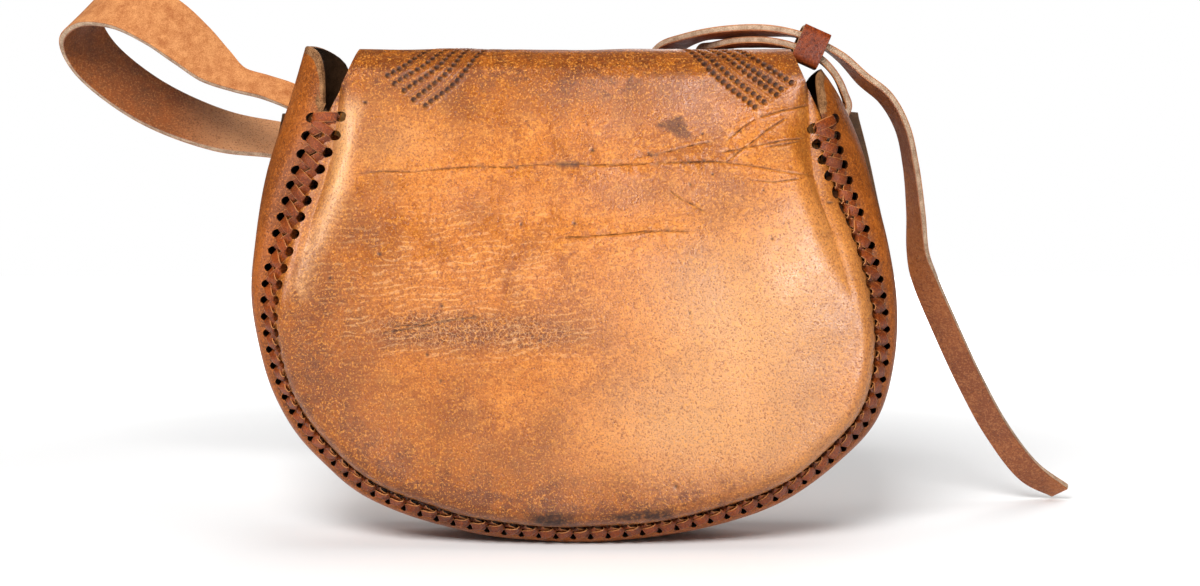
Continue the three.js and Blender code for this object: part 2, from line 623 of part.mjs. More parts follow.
function solidOf(geometry) {
  const bare = geometry.clone();
  bare.deleteAttribute("normal");
  bare.deleteAttribute("uv");
  const merged = mergeVertices(bare, 1e-4);
  return new wasm.Manifold(
    new wasm.Mesh({
      numProp: 3,
      vertProperties: new Float32Array(merged.getAttribute("position").array),
      triVerts: new Uint32Array(merged.getIndex().array),
    }),
  );
}

function geometryOf(solid) {
  const mesh = solid.getMesh();
  const geometry = new THREE.BufferGeometry();
  geometry.setAttribute("position", new THREE.Float32BufferAttribute(mesh.vertProperties, 3));
  geometry.setIndex(Array.from(mesh.triVerts));
  return geometry;
}

// The stretch of a strap, as shares of its route, that passes through an ear, a little thicker all round.
function slitCutter(route, from, to) {
  return solidOf(ribbonGeometry(route, 12, SLIT_CLEARANCE, from, to));
}

function slitGusset() {
  return geometryOf(
    solidOf(gussetGeometry())
      .subtract(slitCutter(SHOULDER_STRAP, 1 / (SHOULDER_STRAP.length - 1), 4 / (SHOULDER_STRAP.length - 1)))
      .subtract(slitCutter(SHORT_STRAP, 1 / (SHORT_STRAP.length - 1), 4 / (SHORT_STRAP.length - 1))),
  );
}

// ---- the bag ----

function named(name, geometry, material) {
  const mesh = new THREE.Mesh(geometry, material);
  mesh.name = name;
  return mesh;
}

function keeper() {
  const mesh = named("strap_keeper", keeperGeometry(), redBrown);
  mesh.position.set(KEEPER.x, KEEPER.y, KEEPER.z);
  mesh.rotation.y = THREE.MathUtils.degToRad(KEEPER.tilt);
  return mesh;
}

const bag = new THREE.Group();
bag.add(named("back_flap", backFlapGeometry(), tan));
bag.add(named("gusset", slitGusset(), sideTan));
bag.add(named("front_panel", frontPanelGeometry(), tan));
bag.add(named("back_lacing", lacingGeometry(-1, backWall, backTop), laceBrown));
bag.add(named("front_lacing", lacingGeometry(1, frontWall, frontTop), laceBrown));
bag.add(named("shoulder_strap", ribbonGeometry(SHOULDER_STRAP, SHOULDER_STRAP_STEPS), suede));
bag.add(named("short_strap", ribbonGeometry(SHORT_STRAP, SHORT_STRAP_STEPS), suede));
bag.add(keeper());

export default bag;
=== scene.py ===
# A laced leather saddle bag that stands on its side strip, with its laced back towards -Y.
# The sections follow the maker's order: side strip, body and flap, front, lacing, straps, keeper.
# Tables and sizes are in millimetres, and each finished mesh is written in metres.

import math

import bmesh
import bpy
import mathutils
import numpy as np
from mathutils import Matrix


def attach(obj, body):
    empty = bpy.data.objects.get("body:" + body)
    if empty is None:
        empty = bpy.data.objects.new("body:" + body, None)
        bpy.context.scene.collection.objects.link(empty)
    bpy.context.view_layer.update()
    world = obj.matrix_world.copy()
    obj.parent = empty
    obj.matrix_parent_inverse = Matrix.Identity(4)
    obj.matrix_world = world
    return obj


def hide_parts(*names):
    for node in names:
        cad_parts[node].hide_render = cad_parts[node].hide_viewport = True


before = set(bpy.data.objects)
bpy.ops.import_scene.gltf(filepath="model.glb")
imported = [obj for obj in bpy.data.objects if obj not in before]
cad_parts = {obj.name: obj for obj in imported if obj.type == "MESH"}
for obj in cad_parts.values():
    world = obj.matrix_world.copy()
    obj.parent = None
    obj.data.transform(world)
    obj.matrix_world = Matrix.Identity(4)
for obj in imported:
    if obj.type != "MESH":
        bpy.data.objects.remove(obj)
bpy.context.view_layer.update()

# ---- Side strip ----
# One strip of 2.4 mm leather runs round the bag from ear to ear. It is moulded wet over a form, so
# that its two edges turn in to the seams. Its ends stand free as ears, cut rough, with a slit each.

# The strip's outline at mid depth, from the tip of an ear down to the bottom: height, half width,
# inset of the seam, roundness of the strip's section, and height and width of the back panel's wall.
OUTLINE = (
    # z, left, right, inset_left, inset_right, roundness, wall, run
    (225.5, 122.2, 103.5, 20.5, 12.0, 1.4, 2.5, 12),
    (200.5, 129.6, 120.4, 21.0, 13.0, 1.8, 2.5, 12),
    (166.0, 140.5, 133.8, 20.5, 18.0, 2.4, 6.0, 12),
    (138.0, 145.0, 141.2, 16.0, 15.0, 3.0, 10.5, 11),
    (110.0, 146.5, 145.8, 12.0, 12.5, 3.6, 13.5, 10),
    (82.0, 141.8, 145.0, 10.5, 10.5, 4.0, 14.0, 9),
    (56.0, 131.0, 137.0, 10.0, 10.0, 4.0, 14.0, 9),
    (36.5, 115.3, 120.0, 9.8, 9.8, 4.0, 14.0, 9),
    (19.5, 94.0, 97.2, 9.6, 9.6, 4.0, 13.5, 9),
    (7.5, 63.2, 65.8, 9.4, 9.4, 4.0, 13.0, 9),
    (1.2, 31.0, 33.6, 9.2, 9.2, 4.0, 13.0, 9),
    (-0.7, 0.0, 0.0, 9.2, 9.2, 4.0, 13.0, 9),
)
# How far the rims of the ears lie below the ends of the strip, from its back edge (-1) to its front (1).
EAR_RIMS = (
    # across, left, right
    (-1.0, 30.0, 28.5),
    (-0.9, 24.5, 26.0),
    (-0.8, 17.5, 23.0),
    (-0.65, 8.0, 18.5),
    (-0.5, 2.6, 15.5),
    (-0.35, 0.9, 14.3),
    (-0.2, 0.8, 14.2),
    (0.0, 2.2, 14.0),
    (0.2, 0.6, 14.0),
    (0.5, 0.6, 15.0),
    (0.8, 4.5, 18.0),
    (1.0, 10.5, 20.5),
)
PARED_BAND, PARED_EDGE = 4.2, 1.2
# The share of an ear's rim, from its back edge, that is pared thin.
PARED_SHARE = 0.3
SEAM_DEPTH = 26.0
STRIP_LEATHER = 2.4
GAP = 0.3
EAR_ROWS = 26
SEAM_ROWS = 420
STRIP_COLUMNS = 44
# Where along the strip its section is a typical one.
TYPICAL_PLACE = 0.3
# How dark the seams are, burnt and in painted shade, and the painted shade on the low left edge, the foot
# and the crown of the strip.
SEAM_BURN_AND_SHADE, LOW_LEFT_SHADE, FOOT_SHADE, CROWN_SHADE = 0.5, 0.4, 0.25, 0.3
SEAM_END = 6
WALK_STEPS = 1200
NUDGE = 1e-4
SHARP_DEGREES = 40
EDGE_SWELL = 0.25
WAVES = 7
MM = 0.001


def catmull(points, t, centripetal=False):
    """A smooth curve through points, at values of t from 0 to 1."""
    p = np.asarray(points, float)
    p = np.vstack([2 * p[0] - p[1], p, 2 * p[-1] - p[-2]])
    u = np.clip(np.asarray(t, float), 0, 1) * (len(p) - 3)
    i = np.minimum(u.astype(int), len(p) - 4)
    w = (u - i)[:, None]
    a, b, c, d = p[i], p[i + 1], p[i + 2], p[i + 3]
    if centripetal:
        ab, bc, cd = (np.sqrt(np.linalg.norm(q, axis=1))[:, None] for q in (b - a, c - b, d - c))
        rise_b = ((b - a) / ab - (c - a) / (ab + bc) + (c - b) / bc) * bc
        rise_c = ((c - b) / bc - (d - b) / (bc + cd) + (d - c) / cd) * bc
    else:
        rise_b, rise_c = (c - a) / 2, (d - b) / 2
    w2, w3 = w * w, w * w * w
    return b * (2 * w3 - 3 * w2 + 1) + rise_b * (w3 - 2 * w2 + w) + c * (3 * w2 - 2 * w3) + rise_c * (w3 - w2)


def through(rows, value):
    """A smooth function of a table's first column, through another of its columns."""
    table = np.array(sorted(rows), float)
    x, y = table[:, 0], table[:, value]
    slopes = np.gradient(y, x)

    def at(v):
        v = np.clip(np.asarray(v, float), x[0], x[-1])
        i = np.clip(np.searchsorted(x, v) - 1, 0, len(x) - 2)
        step = x[i + 1] - x[i]
        q = (v - x[i]) / step
        q2, q3 = q * q, q * q * q
        rise = slopes[i] * step * (q3 - 2 * q2 + q) + slopes[i + 1] * step * (q3 - q2)
        return y[i] * (2 * q3 - 3 * q2 + 1) + y[i + 1] * (3 * q2 - 2 * q3) + rise

    return at


def unit(v):
    return v / np.maximum(np.linalg.norm(v, axis=-1), 1e-9)[..., None]


def heading(points, t):
    """The unit direction of a smooth curve through points, at values of t."""
    return unit(catmull(points, t + NUDGE, True) - catmull(points, t - NUDGE, True))


def lengths_along(points):
    """The distance from the first point to each, along the line through them."""
    return np.concatenate([[0], np.cumsum(np.linalg.norm(np.diff(points, axis=0), axis=1))])


def ramp(value, start, end):
    """0 at the start and before it, rising evenly to 1 at the end and past it."""
    return np.clip((value - start) / (end - start), 0, 1)


outline = np.array(OUTLINE, float)
left_side = np.column_stack([-outline[:, 1], outline[:, 0], outline[:, 3], outline[:, 5:]])
right_side = np.column_stack([outline[:-1, 2], outline[:-1, 0], outline[:-1, 4], outline[:-1, 5:]])[::-1]
walk = np.vstack([left_side, right_side])
walk_t = np.linspace(0, 1, WALK_STEPS + 1)
walk_arc = lengths_along(catmull(walk[:, :2], walk_t, True))
STRIP_LENGTH = walk_arc[-1]
LEFT_NOTCH = walk_arc[round(WALK_STEPS / (len(walk) - 1))]
RIGHT_NOTCH = walk_arc[round(WALK_STEPS * (len(walk) - 2) / (len(walk) - 1))]


class Stations:
    """The strip's outline, inward direction and section at distances along it. share is -1 to 1."""

    def __init__(self, arc):
        arc = np.clip(arc, 0, STRIP_LENGTH)
        t = np.interp(arc, walk_arc, walk_t).ravel()
        here, ahead = catmull(walk[:, :2], t, True), heading(walk[:, :2], t)
        section = catmull(walk[:, 2:], t)
        self.x, self.z = (v.reshape(arc.shape) for v in here.T)
        self.in_x, self.in_z = -ahead[:, 1].reshape(arc.shape), ahead[:, 0].reshape(arc.shape)
        self.inset, self.roundness, self.wall, self.run = (v.reshape(arc.shape) for v in section.T)
        self.share = 2 * (arc - LEFT_NOTCH) / (RIGHT_NOTCH - LEFT_NOTCH) - 1

    def inside(self, n, y):
        """Points n inside the outline at depth y. The resting face is flat at z = 0."""
        z = np.maximum(self.z + self.in_z * n, 0)
        return np.stack(np.broadcast_arrays(self.x + self.in_x * n, y, z), -1)


def seam_arc(share):
    return LEFT_NOTCH + (np.asarray(share, float) + 1) / 2 * (RIGHT_NOTCH - LEFT_NOTCH)


def strip_point(s, across):
    """A point of the strip's outer face, from its back edge (-1) to its front edge (1)."""
    angle = across * math.pi / 2
    power = 2 / s.roundness
    n = s.inset * (1 - np.abs(np.cos(angle)) ** power)
    return s.inside(n, np.sign(across) * SEAM_DEPTH * np.abs(np.sin(angle)) ** power)


def even_across(columns):
    """Places across the strip that lie at even distances round its section."""
    fine = np.linspace(-1, 1, 2001)
    length = lengths_along(strip_point(Stations(np.full(fine.shape, STRIP_LENGTH * TYPICAL_PLACE)), fine))
    return np.interp(np.linspace(0, length[-1], columns + 1), length, fine)


def grid_normals(grid):
    """Unit directions at right angles to a grid of points."""
    return unit(np.cross(np.gradient(grid, axis=0), np.gradient(grid, axis=1)))


def waves(points, size, height, seed):
    """Smooth uneven heights over points, from a few crossed waves of about one size."""
    rng = np.random.default_rng(seed)
    total = np.zeros(points.shape[:-1])
    for _ in range(WAVES):
        way = rng.normal(size=3)
        way *= 2 * math.pi / (size * rng.uniform(0.7, 1.5)) / np.linalg.norm(way)
        total += np.sin(points @ way + rng.uniform(0, 2 * math.pi))
    return height * total / (WAVES / 2)


def closed_skin(outer, inner, edge_steps=2):
    """Points and faces of a skin between two matching grids. Its cut edge has a swell of its own."""
    rows, cols = outer.shape[:2]
    front = np.arange(rows * cols).reshape(rows, cols)
    back = front + rows * cols
    out_of = np.zeros_like(outer)
    out_of[0] += outer[0] - outer[1]
    out_of[-1] += outer[-1] - outer[-2]
    out_of[:, 0] += outer[:, 0] - outer[:, 1]
    out_of[:, -1] += outer[:, -1] - outer[:, -2]
    ring = np.concatenate([front[0], front[1:, -1], front[-1, -2::-1], front[-2:0:-1, 0]])
    away = unit(out_of.reshape(-1, 3)[ring])
    flat_outer, flat_inner = outer.reshape(-1, 3), inner.reshape(-1, 3)
    loops = [ring]
    points = [flat_outer, flat_inner]
    for step in range(1, edge_steps + 1):
        q = step / (edge_steps + 1)
        swell = away * EDGE_SWELL * math.sin(math.pi * q)
        points.append(flat_outer[ring] * (1 - q) + flat_inner[ring] * q + swell)
        loops.append(np.arange(len(ring)) + 2 * rows * cols + (step - 1) * len(ring))
    loops.append(ring + rows * cols)

    def quads(g):
        return np.stack([g[:-1, :-1], g[1:, :-1], g[1:, 1:], g[:-1, 1:]], -1).reshape(-1, 4)

    faces = [quads(front), quads(back)[:, ::-1]]
    for a, b in zip(loops, loops[1:]):
        faces.append(np.stack([a, np.roll(a, -1), np.roll(b, -1), b], -1))
    kinds = np.concatenate([np.zeros(len(flat_outer)), np.full(len(flat_inner), 2.0),
                            np.ones(edge_steps * len(ring))])
    return np.concatenate(points), np.concatenate(faces), kinds


def linked(name, points, edges=(), faces=()):
    """A new mesh object in the scene, from points in millimetres."""
    mesh = bpy.data.meshes.new(name)
    mesh.from_pydata((points * MM).tolist(), edges, faces)
    made = bpy.data.objects.new(name, mesh)
    bpy.context.scene.collection.objects.link(made)
    return made


def soften(made, sharp_degrees=SHARP_DEGREES):
    made.data.shade_smooth()
    made.data.set_sharp_from_angle(angle=math.radians(sharp_degrees))


def mark(made, name, values):
    """Stores one number, or one vector, for each vertex."""
    vector = np.ndim(values) == 2
    kind, field = ("FLOAT_VECTOR", "vector") if vector else ("FLOAT", "value")
    layer = made.data.attributes.get(name) or made.data.attributes.new(name, kind, "POINT")
    layer.data.foreach_set(field, np.ascontiguousarray(values, np.float32).ravel())


def read_mark(made, name):
    values = np.zeros(len(made.data.vertices), np.float32)
    made.data.attributes[name].data.foreach_get("value", values)
    return values


def places(made):
    """The vertices of a mesh, in millimetres."""
    flat = np.zeros(len(made.data.vertices) * 3, np.float32)
    made.data.vertices.foreach_get("co", flat)
    return flat.reshape(-1, 3).astype(float) / MM


def mesh_object(name, points, faces, kinds):
    """A closed mesh with its faces pointing out, smooth except at sharp corners."""
    corners = points[faces]
    spread = np.cross(corners[:, 1] - corners[:, 0], corners[:, 2] - corners[:, 0])
    spread += np.cross(corners[:, 2] - corners[:, 0], corners[:, -1] - corners[:, 0])
    if np.einsum("ij,ij->", corners[:, 0], spread) < 0:
        faces = faces[:, ::-1]
    made = linked(name, points, faces=faces.tolist())
    mark(made, "kind", kinds)
    soften(made)
    return made


def node(tree, kind, output=0, settings=(), **inputs):
    """Adds a node, sets or links its inputs by name, and returns one of its outputs."""
    made = tree.nodes.new(kind)
    for key, value in settings:
        setattr(made, key, value)
    for key, value in inputs.items():
        plain = key.replace("_", " ")
        socket = made.inputs[int(key[1:])] if key[0] == "i" and key[1:].isdigit() else made.inputs[plain]
        if isinstance(value, bpy.types.NodeSocket):
            tree.links.new(value, socket)
        else:
            socket.default_value = value
    return made.outputs[output]


# The leather itself: a grain side with pores, mottles and patina, a suede flesh side and cut edges.
# The marks on a mesh are numbers: kind (0 grain, 1 cut edge, 2 flesh side), and from 0 to 1 dark (burnt
# and oiled leather, and painted shade), pale (worn leather, and painted highlight), crepe (fine wrinkles),
# line (the bottom of a crease or a tool mark, darkened partly as painted shade), rim (the scraped edges of a
# thong) and punched (the inside of a hole, painted near black as shade).
def mark_of(tree, name):
    return node(tree, "ShaderNodeAttribute", output=2, settings=(("attribute_name", name),))


def blend(tree, share, a, b):
    """Mixes two colours by a share."""
    return node(tree, "ShaderNodeMix", output=2, settings=(("data_type", "RGBA"),), i0=share, i6=a, i7=b)


def sums(tree, operation, a, b=0.0, c=0.0):
    return node(tree, "ShaderNodeMath", settings=(("operation", operation),), i0=a, i1=b, i2=c)


def times(tree, a, b):
    return sums(tree, "MULTIPLY", a, b)


def span(tree, value, low, high, to_low=0.0, to_high=1.0):
    """Stretches a value from low..high to to_low..to_high, and holds it there."""
    return node(tree, "ShaderNodeMapRange", settings=(("interpolation_type", "SMOOTHSTEP"),),
                i0=value, i1=low, i2=high, i3=to_low, i4=to_high)


def cloud(tree, place, size, detail=3.0, roughness=0.55, distortion=0.0):
    """Noise whose lumps are about size millimetres."""
    return node(tree, "ShaderNodeTexNoise", Vector=place, Scale=1 / (size * MM), Detail=detail,
                Roughness=roughness, Distortion=distortion)


def rgb(text):
    """A colour from six hexadecimal digits, as the shader's linear values."""
    parts = [int(text[i:i + 2], 16) / 255 for i in (0, 2, 4)]
    linear = [p / 12.92 if p <= 0.04045 else ((p + 0.055) / 1.055) ** 2.4 for p in parts]
    return (*linear, 1.0)


WRINKLE_TILT = math.radians(15)
PIT_COLOUR = "1c0a05"


def leather(name, tones, flesh, cut, shine=0.45, gleam=0.45, pebble=1.0, grain_depth=0.16, mottle=1.0):
    """tones: deep, base, light, worn and burnt colours of the grain side; the worn colour also serves as
    painted highlight and the burnt one as painted shade. flesh and cut: the rest.
    """
    deep, base, light, worn_and_highlight, burnt_and_shade = (rgb(tone) for tone in tones)
    finish = bpy.data.materials.new(name)
    finish.use_nodes = True
    tree = finish.node_tree
    surface = tree.nodes["Principled BSDF"]
    place = node(tree, "ShaderNodeTexCoord", output=3)
    kind, dark, pale, crepe, rim = (mark_of(tree, each) for each in ("kind", "dark", "pale", "crepe", "rim"))
    line = sums(tree, "MAXIMUM", mark_of(tree, "line"), mark_of(tree, "punched"))
    is_cut = sums(tree, "SUBTRACT", 1.0, sums(tree, "ABSOLUTE", sums(tree, "SUBTRACT", kind, 1.0)))
    is_cut = span(tree, is_cut, 0.25, 0.75)
    is_flesh = span(tree, kind, 1.4, 1.8)
    # Grain side: patina, mottles, blots, specks, pores, cracks and a net of fine wrinkles.
    patina = cloud(tree, place, 42, distortion=0.4)
    mottles = cloud(tree, place, 9, detail=5.0, roughness=0.64, distortion=0.5)
    blots = cloud(tree, place, 2.4 * pebble, roughness=0.65, distortion=0.3)
    specks = cloud(tree, place, 0.95 * pebble, detail=2.0, roughness=0.75)
    pores = node(tree, "ShaderNodeTexVoronoi", Vector=place, Scale=1 / (1.4 * pebble * MM))
    pores = span(tree, pores, 0.34, 0.14)
    cracks = node(tree, "ShaderNodeTexVoronoi", settings=(("feature", "DISTANCE_TO_EDGE"),), Vector=place,
                  Scale=1 / (2.0 * MM))
    cracks = span(tree, cracks, 0.09, 0.01)
    laid = node(tree, "ShaderNodeMapping", Vector=place, Rotation=(0, WRINKLE_TILT, 0), Scale=(0.4, 1.0, 1.0))
    net = node(tree, "ShaderNodeTexWave", output=1, settings=(("bands_direction", "Z"),), Vector=laid,
               Scale=0.314 / (2.9 * MM), Distortion=11.0, Detail=4.0, Detail_Scale=1.3, Detail_Roughness=0.6)
    hollow = span(tree, net, 0.45, 0.1)
    net = times(tree, span(tree, net, 0.66, 0.97), span(tree, mottles, 0.42, 0.56))
    net = times(tree, net, span(tree, blots, 0.36, 0.5))
    # How strongly the burnt tone (also the painted shade), the crackle, the net and the pores show at each
    # place.
    uneven = sums(tree, "MULTIPLY_ADD", mottles, 2.0, sums(tree, "MULTIPLY_ADD", blots, 1.7, -1.85))
    dark_share = sums(tree, "MULTIPLY_ADD", times(tree, dark, 1.7), uneven, dark)
    dark_share = sums(tree, "MINIMUM", sums(tree, "MAXIMUM", dark_share, 0.0), 1.0)
    crackled = span(tree, crepe, 0.35, 0.9)
    net_share = sums(tree, "MULTIPLY_ADD", sums(tree, "SUBTRACT", crepe, crackled), 0.85,
                     sums(tree, "MULTIPLY_ADD", crackled, 0.35, 0.05))
    pore_share = sums(tree, "MULTIPLY_ADD", span(tree, blots, 0.62, 0.42), 0.45, 0.15)
    # Flesh side and cut edges.
    fibres = cloud(tree, place, 0.55, roughness=0.8)
    nap = cloud(tree, place, 5.0, detail=5.0, roughness=0.75)
    nap_share = sums(tree, "MULTIPLY_ADD", fibres, 0.5, times(tree, nap, 0.5))
    flesh_colour = blend(tree, span(tree, nap_share, 0.36, 0.64), rgb(flesh[0]), rgb(flesh[1]))
    cut_colour = blend(tree, span(tree, nap_share, 0.38, 0.62), rgb(cut[0]), rgb(cut[1]))
    # The colours in the order in which they lie on each other: where, how strongly, and which.
    colour = deep
    for where, strength, tone in (
        (span(tree, patina, 0.32, 0.58), 1.0, base),
        (span(tree, mottles, 0.5, 0.74), 0.5 * mottle, light),
        (span(tree, mottles, 0.5, 0.28), 0.6 * mottle, deep),
        (span(tree, blots, 0.5, 0.7), 0.5, light),
        (span(tree, blots, 0.5, 0.3), 0.62, deep),
        # Worn leather, and painted highlight where the pale mark lies.
        (pale, 0.8, worn_and_highlight),
        # Burnt and oiled leather, and painted shade where the dark mark lies.
        (dark_share, 1.0, burnt_and_shade),
        (times(tree, crackled, span(tree, blots, 0.58, 0.40)), 1.0, burnt_and_shade),
        (times(tree, crackled, cracks), 0.5, worn_and_highlight),
        (times(tree, crepe, hollow), 0.45, deep),
        (times(tree, net, net_share), 1.0, worn_and_highlight),
        (span(tree, specks, 0.5, 0.68), 0.65, light),
        (span(tree, specks, 0.5, 0.32), 0.75, deep),
        (span(tree, rim, 0.80, 1.0), 0.7, worn_and_highlight),
        (times(tree, pores, pore_share), 1.0, burnt_and_shade),
        # Painted shade in creases, grooves, pits and holes, and the real stain, scuffs and knocks.
        (line, 0.9, rgb(PIT_COLOUR)),
        (is_flesh, 1.0, flesh_colour),
        (is_cut, 1.0, cut_colour),
    ):
        colour = blend(tree, times(tree, where, strength), colour, tone)
    # Relief: grain and wrinkles on the grain side, loose fibres on the rest.
    rough_side = sums(tree, "MAXIMUM", is_flesh, is_cut)
    grain = sums(tree, "MULTIPLY_ADD", pores, -0.5, sums(tree, "MULTIPLY_ADD", blots, 1.2, specks))
    grain = sums(tree, "MULTIPLY_ADD", net, sums(tree, "MULTIPLY_ADD", crepe, 0.9, 0.15), grain)
    relief = node(tree, "ShaderNodeMix", settings=(("data_type", "FLOAT"),), i0=rough_side, i2=grain,
                  i3=sums(tree, "MULTIPLY_ADD", fibres, 1.4, nap))
    bump = node(tree, "ShaderNodeBump", Strength=0.9, Distance=grain_depth * MM, Height=relief)
    gloss = span(tree, mottles, 0.3, 0.7, shine - 0.06, shine + 0.08)
    gloss = sums(tree, "MULTIPLY_ADD", rough_side, 0.4, gloss)
    gloss = sums(tree, "MULTIPLY_ADD", line, 0.3, gloss)
    tree.links.new(colour, surface.inputs["Base Color"])
    tree.links.new(gloss, surface.inputs["Roughness"])
    tree.links.new(bump, surface.inputs["Normal"])
    surface.inputs["Specular IOR Level"].default_value = gleam
    return finish


def finished(made, finish, nodes):
    """Gives a piece its finish, puts it under the root body, and hides the nodes that it stands for."""
    made.data.materials.clear()
    made.data.materials.append(finish)
    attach(made, "root")
    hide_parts(*nodes)


left_rim, right_rim = through(EAR_RIMS, 1), through(EAR_RIMS, 2)
strip_across = even_across(STRIP_COLUMNS)


def strip_rows():
    """The distances along the strip of each row of its mesh, for each place across it."""
    ear = (np.arange(EAR_ROWS) / EAR_ROWS)[:, None]
    left = left_rim(strip_across) + (LEFT_NOTCH - left_rim(strip_across)) * ear
    tip = STRIP_LENGTH - right_rim(strip_across)
    right = (tip + (RIGHT_NOTCH - tip) * ear)[::-1]
    middle = np.linspace(LEFT_NOTCH, RIGHT_NOTCH, SEAM_ROWS + 1)[:, None] + np.zeros(STRIP_COLUMNS + 1)
    return np.vstack([left, middle, right])


strip_outer = strip_point(Stations(strip_rows()), strip_across)
strip_outer += grid_normals(strip_outer) * waves(strip_outer, size=34, height=0.35, seed=3)[..., None]
strip_inner = strip_outer + grid_normals(strip_outer) * STRIP_LEATHER
strip_inner[:, 0] = strip_outer[:, 0] + (0, STRIP_LEATHER, 0)
strip_inner[:, -1] = strip_outer[:, -1] - (0, STRIP_LEATHER, 0)
side_strip = mesh_object("side_strip", *closed_skin(strip_outer, strip_inner))


def mark_strip(made):
    """Writes the pared bands along the ears' back rims, the burnt and painted-shade edges along the seams,
    and painted shade on the low left, the foot and the crown.
    """
    rows, cols = strip_outer.shape[:2]
    arc = strip_rows()
    x, _, z = np.moveaxis(strip_outer, -1, 0)
    from_rim = np.full((rows, cols), np.inf)
    ears = ((slice(0, EAR_ROWS + 1), strip_outer[0]), (slice(rows - EAR_ROWS - 1, rows), strip_outer[-1]))
    for ear, rim in ears:
        line = np.concatenate([rim[:int(cols * PARED_SHARE)], strip_outer[ear, 0]])
        from_rim[ear] = np.linalg.norm(strip_outer[ear][:, :, None] - line, axis=-1).min(axis=-1)
    pared = ramp(from_rim, PARED_BAND, PARED_BAND - PARED_EDGE) * (strip_across < 0)
    kinds = read_mark(made, "kind")
    kinds[:rows * cols] = pared.ravel()
    mark(made, "kind", kinds)
    in_seam = (arc > LEFT_NOTCH - SEAM_END) & (arc < RIGHT_NOTCH + SEAM_END)
    # Painted shade: the low left turns away from the light, the seams' edges lie in a recess, and the foot
    # and the crown turn away from the lamps.
    low_left = ramp(x, -40, -100) * ramp(z, 135, 95)
    along_seam = (SEAM_BURN_AND_SHADE + LOW_LEFT_SHADE * low_left) * ramp(np.abs(strip_across), 0.62, 0.92) * in_seam
    crown = CROWN_SHADE * np.clip(1 - (strip_across / 0.5) ** 2, 0, 1)
    burnt_and_shade = np.zeros(len(kinds))
    burnt_and_shade[:rows * cols] = np.maximum(np.maximum(along_seam, FOOT_SHADE * ramp(z, 170, 0)), crown).ravel()
    mark(made, "dark", burnt_and_shade)


mark_strip(side_strip)
side_leather = leather("side leather", ("74390f", "a65616", "bf6d28", "c88a50", "32140a"),
                       ("2a1a0e", "453020"), ("a5764c", "553218"), shine=0.42, gleam=0.28, mottle=0.45)
finished(side_strip, side_leather, ["gusset"])

# ---- Body and flap ----
# One piece of 3 mm leather makes the back, the fold over the top and the wide flap at the front.
# The back was moulded wet, so that it stands out from its seam in a rounded wall.

PANEL_LEATHER = 3.0
FOLD_HEIGHT = 222.5
FOLD_RADIUS = 13.5
FOLD_START = FOLD_HEIGHT - FOLD_RADIUS
FOLD_BACK_EDGE, FOLD_BACK_MIDDLE, FOLD_FRONT = 33.0, 38.0, 40.0
BACK_BULGE = 4.5
EDGE_POWER = 4
NECK = (
    # z, half width
    (222.5, 95.6),
    (209.0, 101.6),
    (194.2, 109.3),
)
FLAP = (
    # z, half width left and right, depth in front of the bag's middle
    (193.2, 138.5, 132.8, 42.0),
    (176.0, 142.5, 137.5, 43.0),
    (153.0, 147.0, 142.8, 44.0),
    (130.0, 151.8, 148.0, 44.4),
    (108.0, 152.8, 150.2, 44.4),
    (85.0, 147.0, 148.0, 44.0),
    (63.0, 131.5, 135.5, 43.2),
    (44.0, 108.0, 112.0, 42.2),
    (30.0, 75.0, 78.0, 41.2),
    (22.5, 30.0, 31.0, 40.5),
)
FLAP_EDGE_DROP = 4.0
BACK_DENTS = (
    # x, z, half width, half height, depth
    (-60, 66, 48, 30, 1.4),
    (20, 150, 90, 12, 1.0),
    (78, 182, 30, 14, 0.9),
)
PANEL_COLUMNS = 160
WALL_ROUNDNESS = 0.9
# Over the face, past the top of the wall, each further degree of a wall angle is this long.
FACE_PER_DEGREE = 0.2
WALL_ANGLES = np.linspace(0, 90, 13)
FACE_SHARES = np.concatenate([np.linspace(0, 0.86, 41)[1:], np.linspace(0.86, 1, 13)[1:]])
FOLD_ANGLES = np.linspace(0, 90, 14)[1:]
FOLD_TOP_SHARES = np.concatenate([np.linspace(0, 0.34, 11)[1:], np.linspace(0.34, 1, 7)[1:]])
NECK_HEIGHTS = (206.0, 203.0, 200.0, 197.0, 194.2)
FLAP_HEIGHTS = (193.2, 191.5, 189.0, *np.linspace(186.0, 32.0, 37), 29.0, 26.0, 22.5)

panel_shares = np.linspace(-1, 1, PANEL_COLUMNS + 1)
neck_half = through(NECK, 1)


def eased(q):
    return q * q * (3 - 2 * q)


def wall_line(s, wall, degrees):
    """The distance inside the outline and the height of a panel's wall, at an angle round it.
    Past 90 degrees the line runs on over the face."""
    angle = np.radians(np.minimum(degrees, 90))
    past = np.maximum(degrees - 90, 0) * FACE_PER_DEGREE
    n = s.inset + GAP + s.run * (1 - np.cos(angle) ** WALL_ROUNDNESS) + past
    return n, wall * np.sin(angle) ** WALL_ROUNDNESS


def panel_lean(s, top_x, top_z):
    """The way a panel leaves its seam: square to it, but along the free edge at both ends."""
    to_x = top_x - s.x - s.in_x * s.inset
    to_z = top_z - s.z - s.in_z * s.inset
    away = np.hypot(to_x, to_z)
    edge = s.share ** EDGE_POWER
    x = s.in_x * (1 - edge) + to_x / away * edge
    z = s.in_z * (1 - edge) + to_z / away * edge
    length = np.hypot(x, z)
    return x / length, z / length


def past_seam(s, lean, n, y):
    """Points n inside the outline, which past the seam follow the panel's lean."""
    foot = s.inside(np.minimum(n, s.inset + GAP), y)
    past = np.maximum(n - s.inset - GAP, 0)
    return foot + np.stack([lean[0] * past, np.zeros_like(past), lean[1] * past], -1)


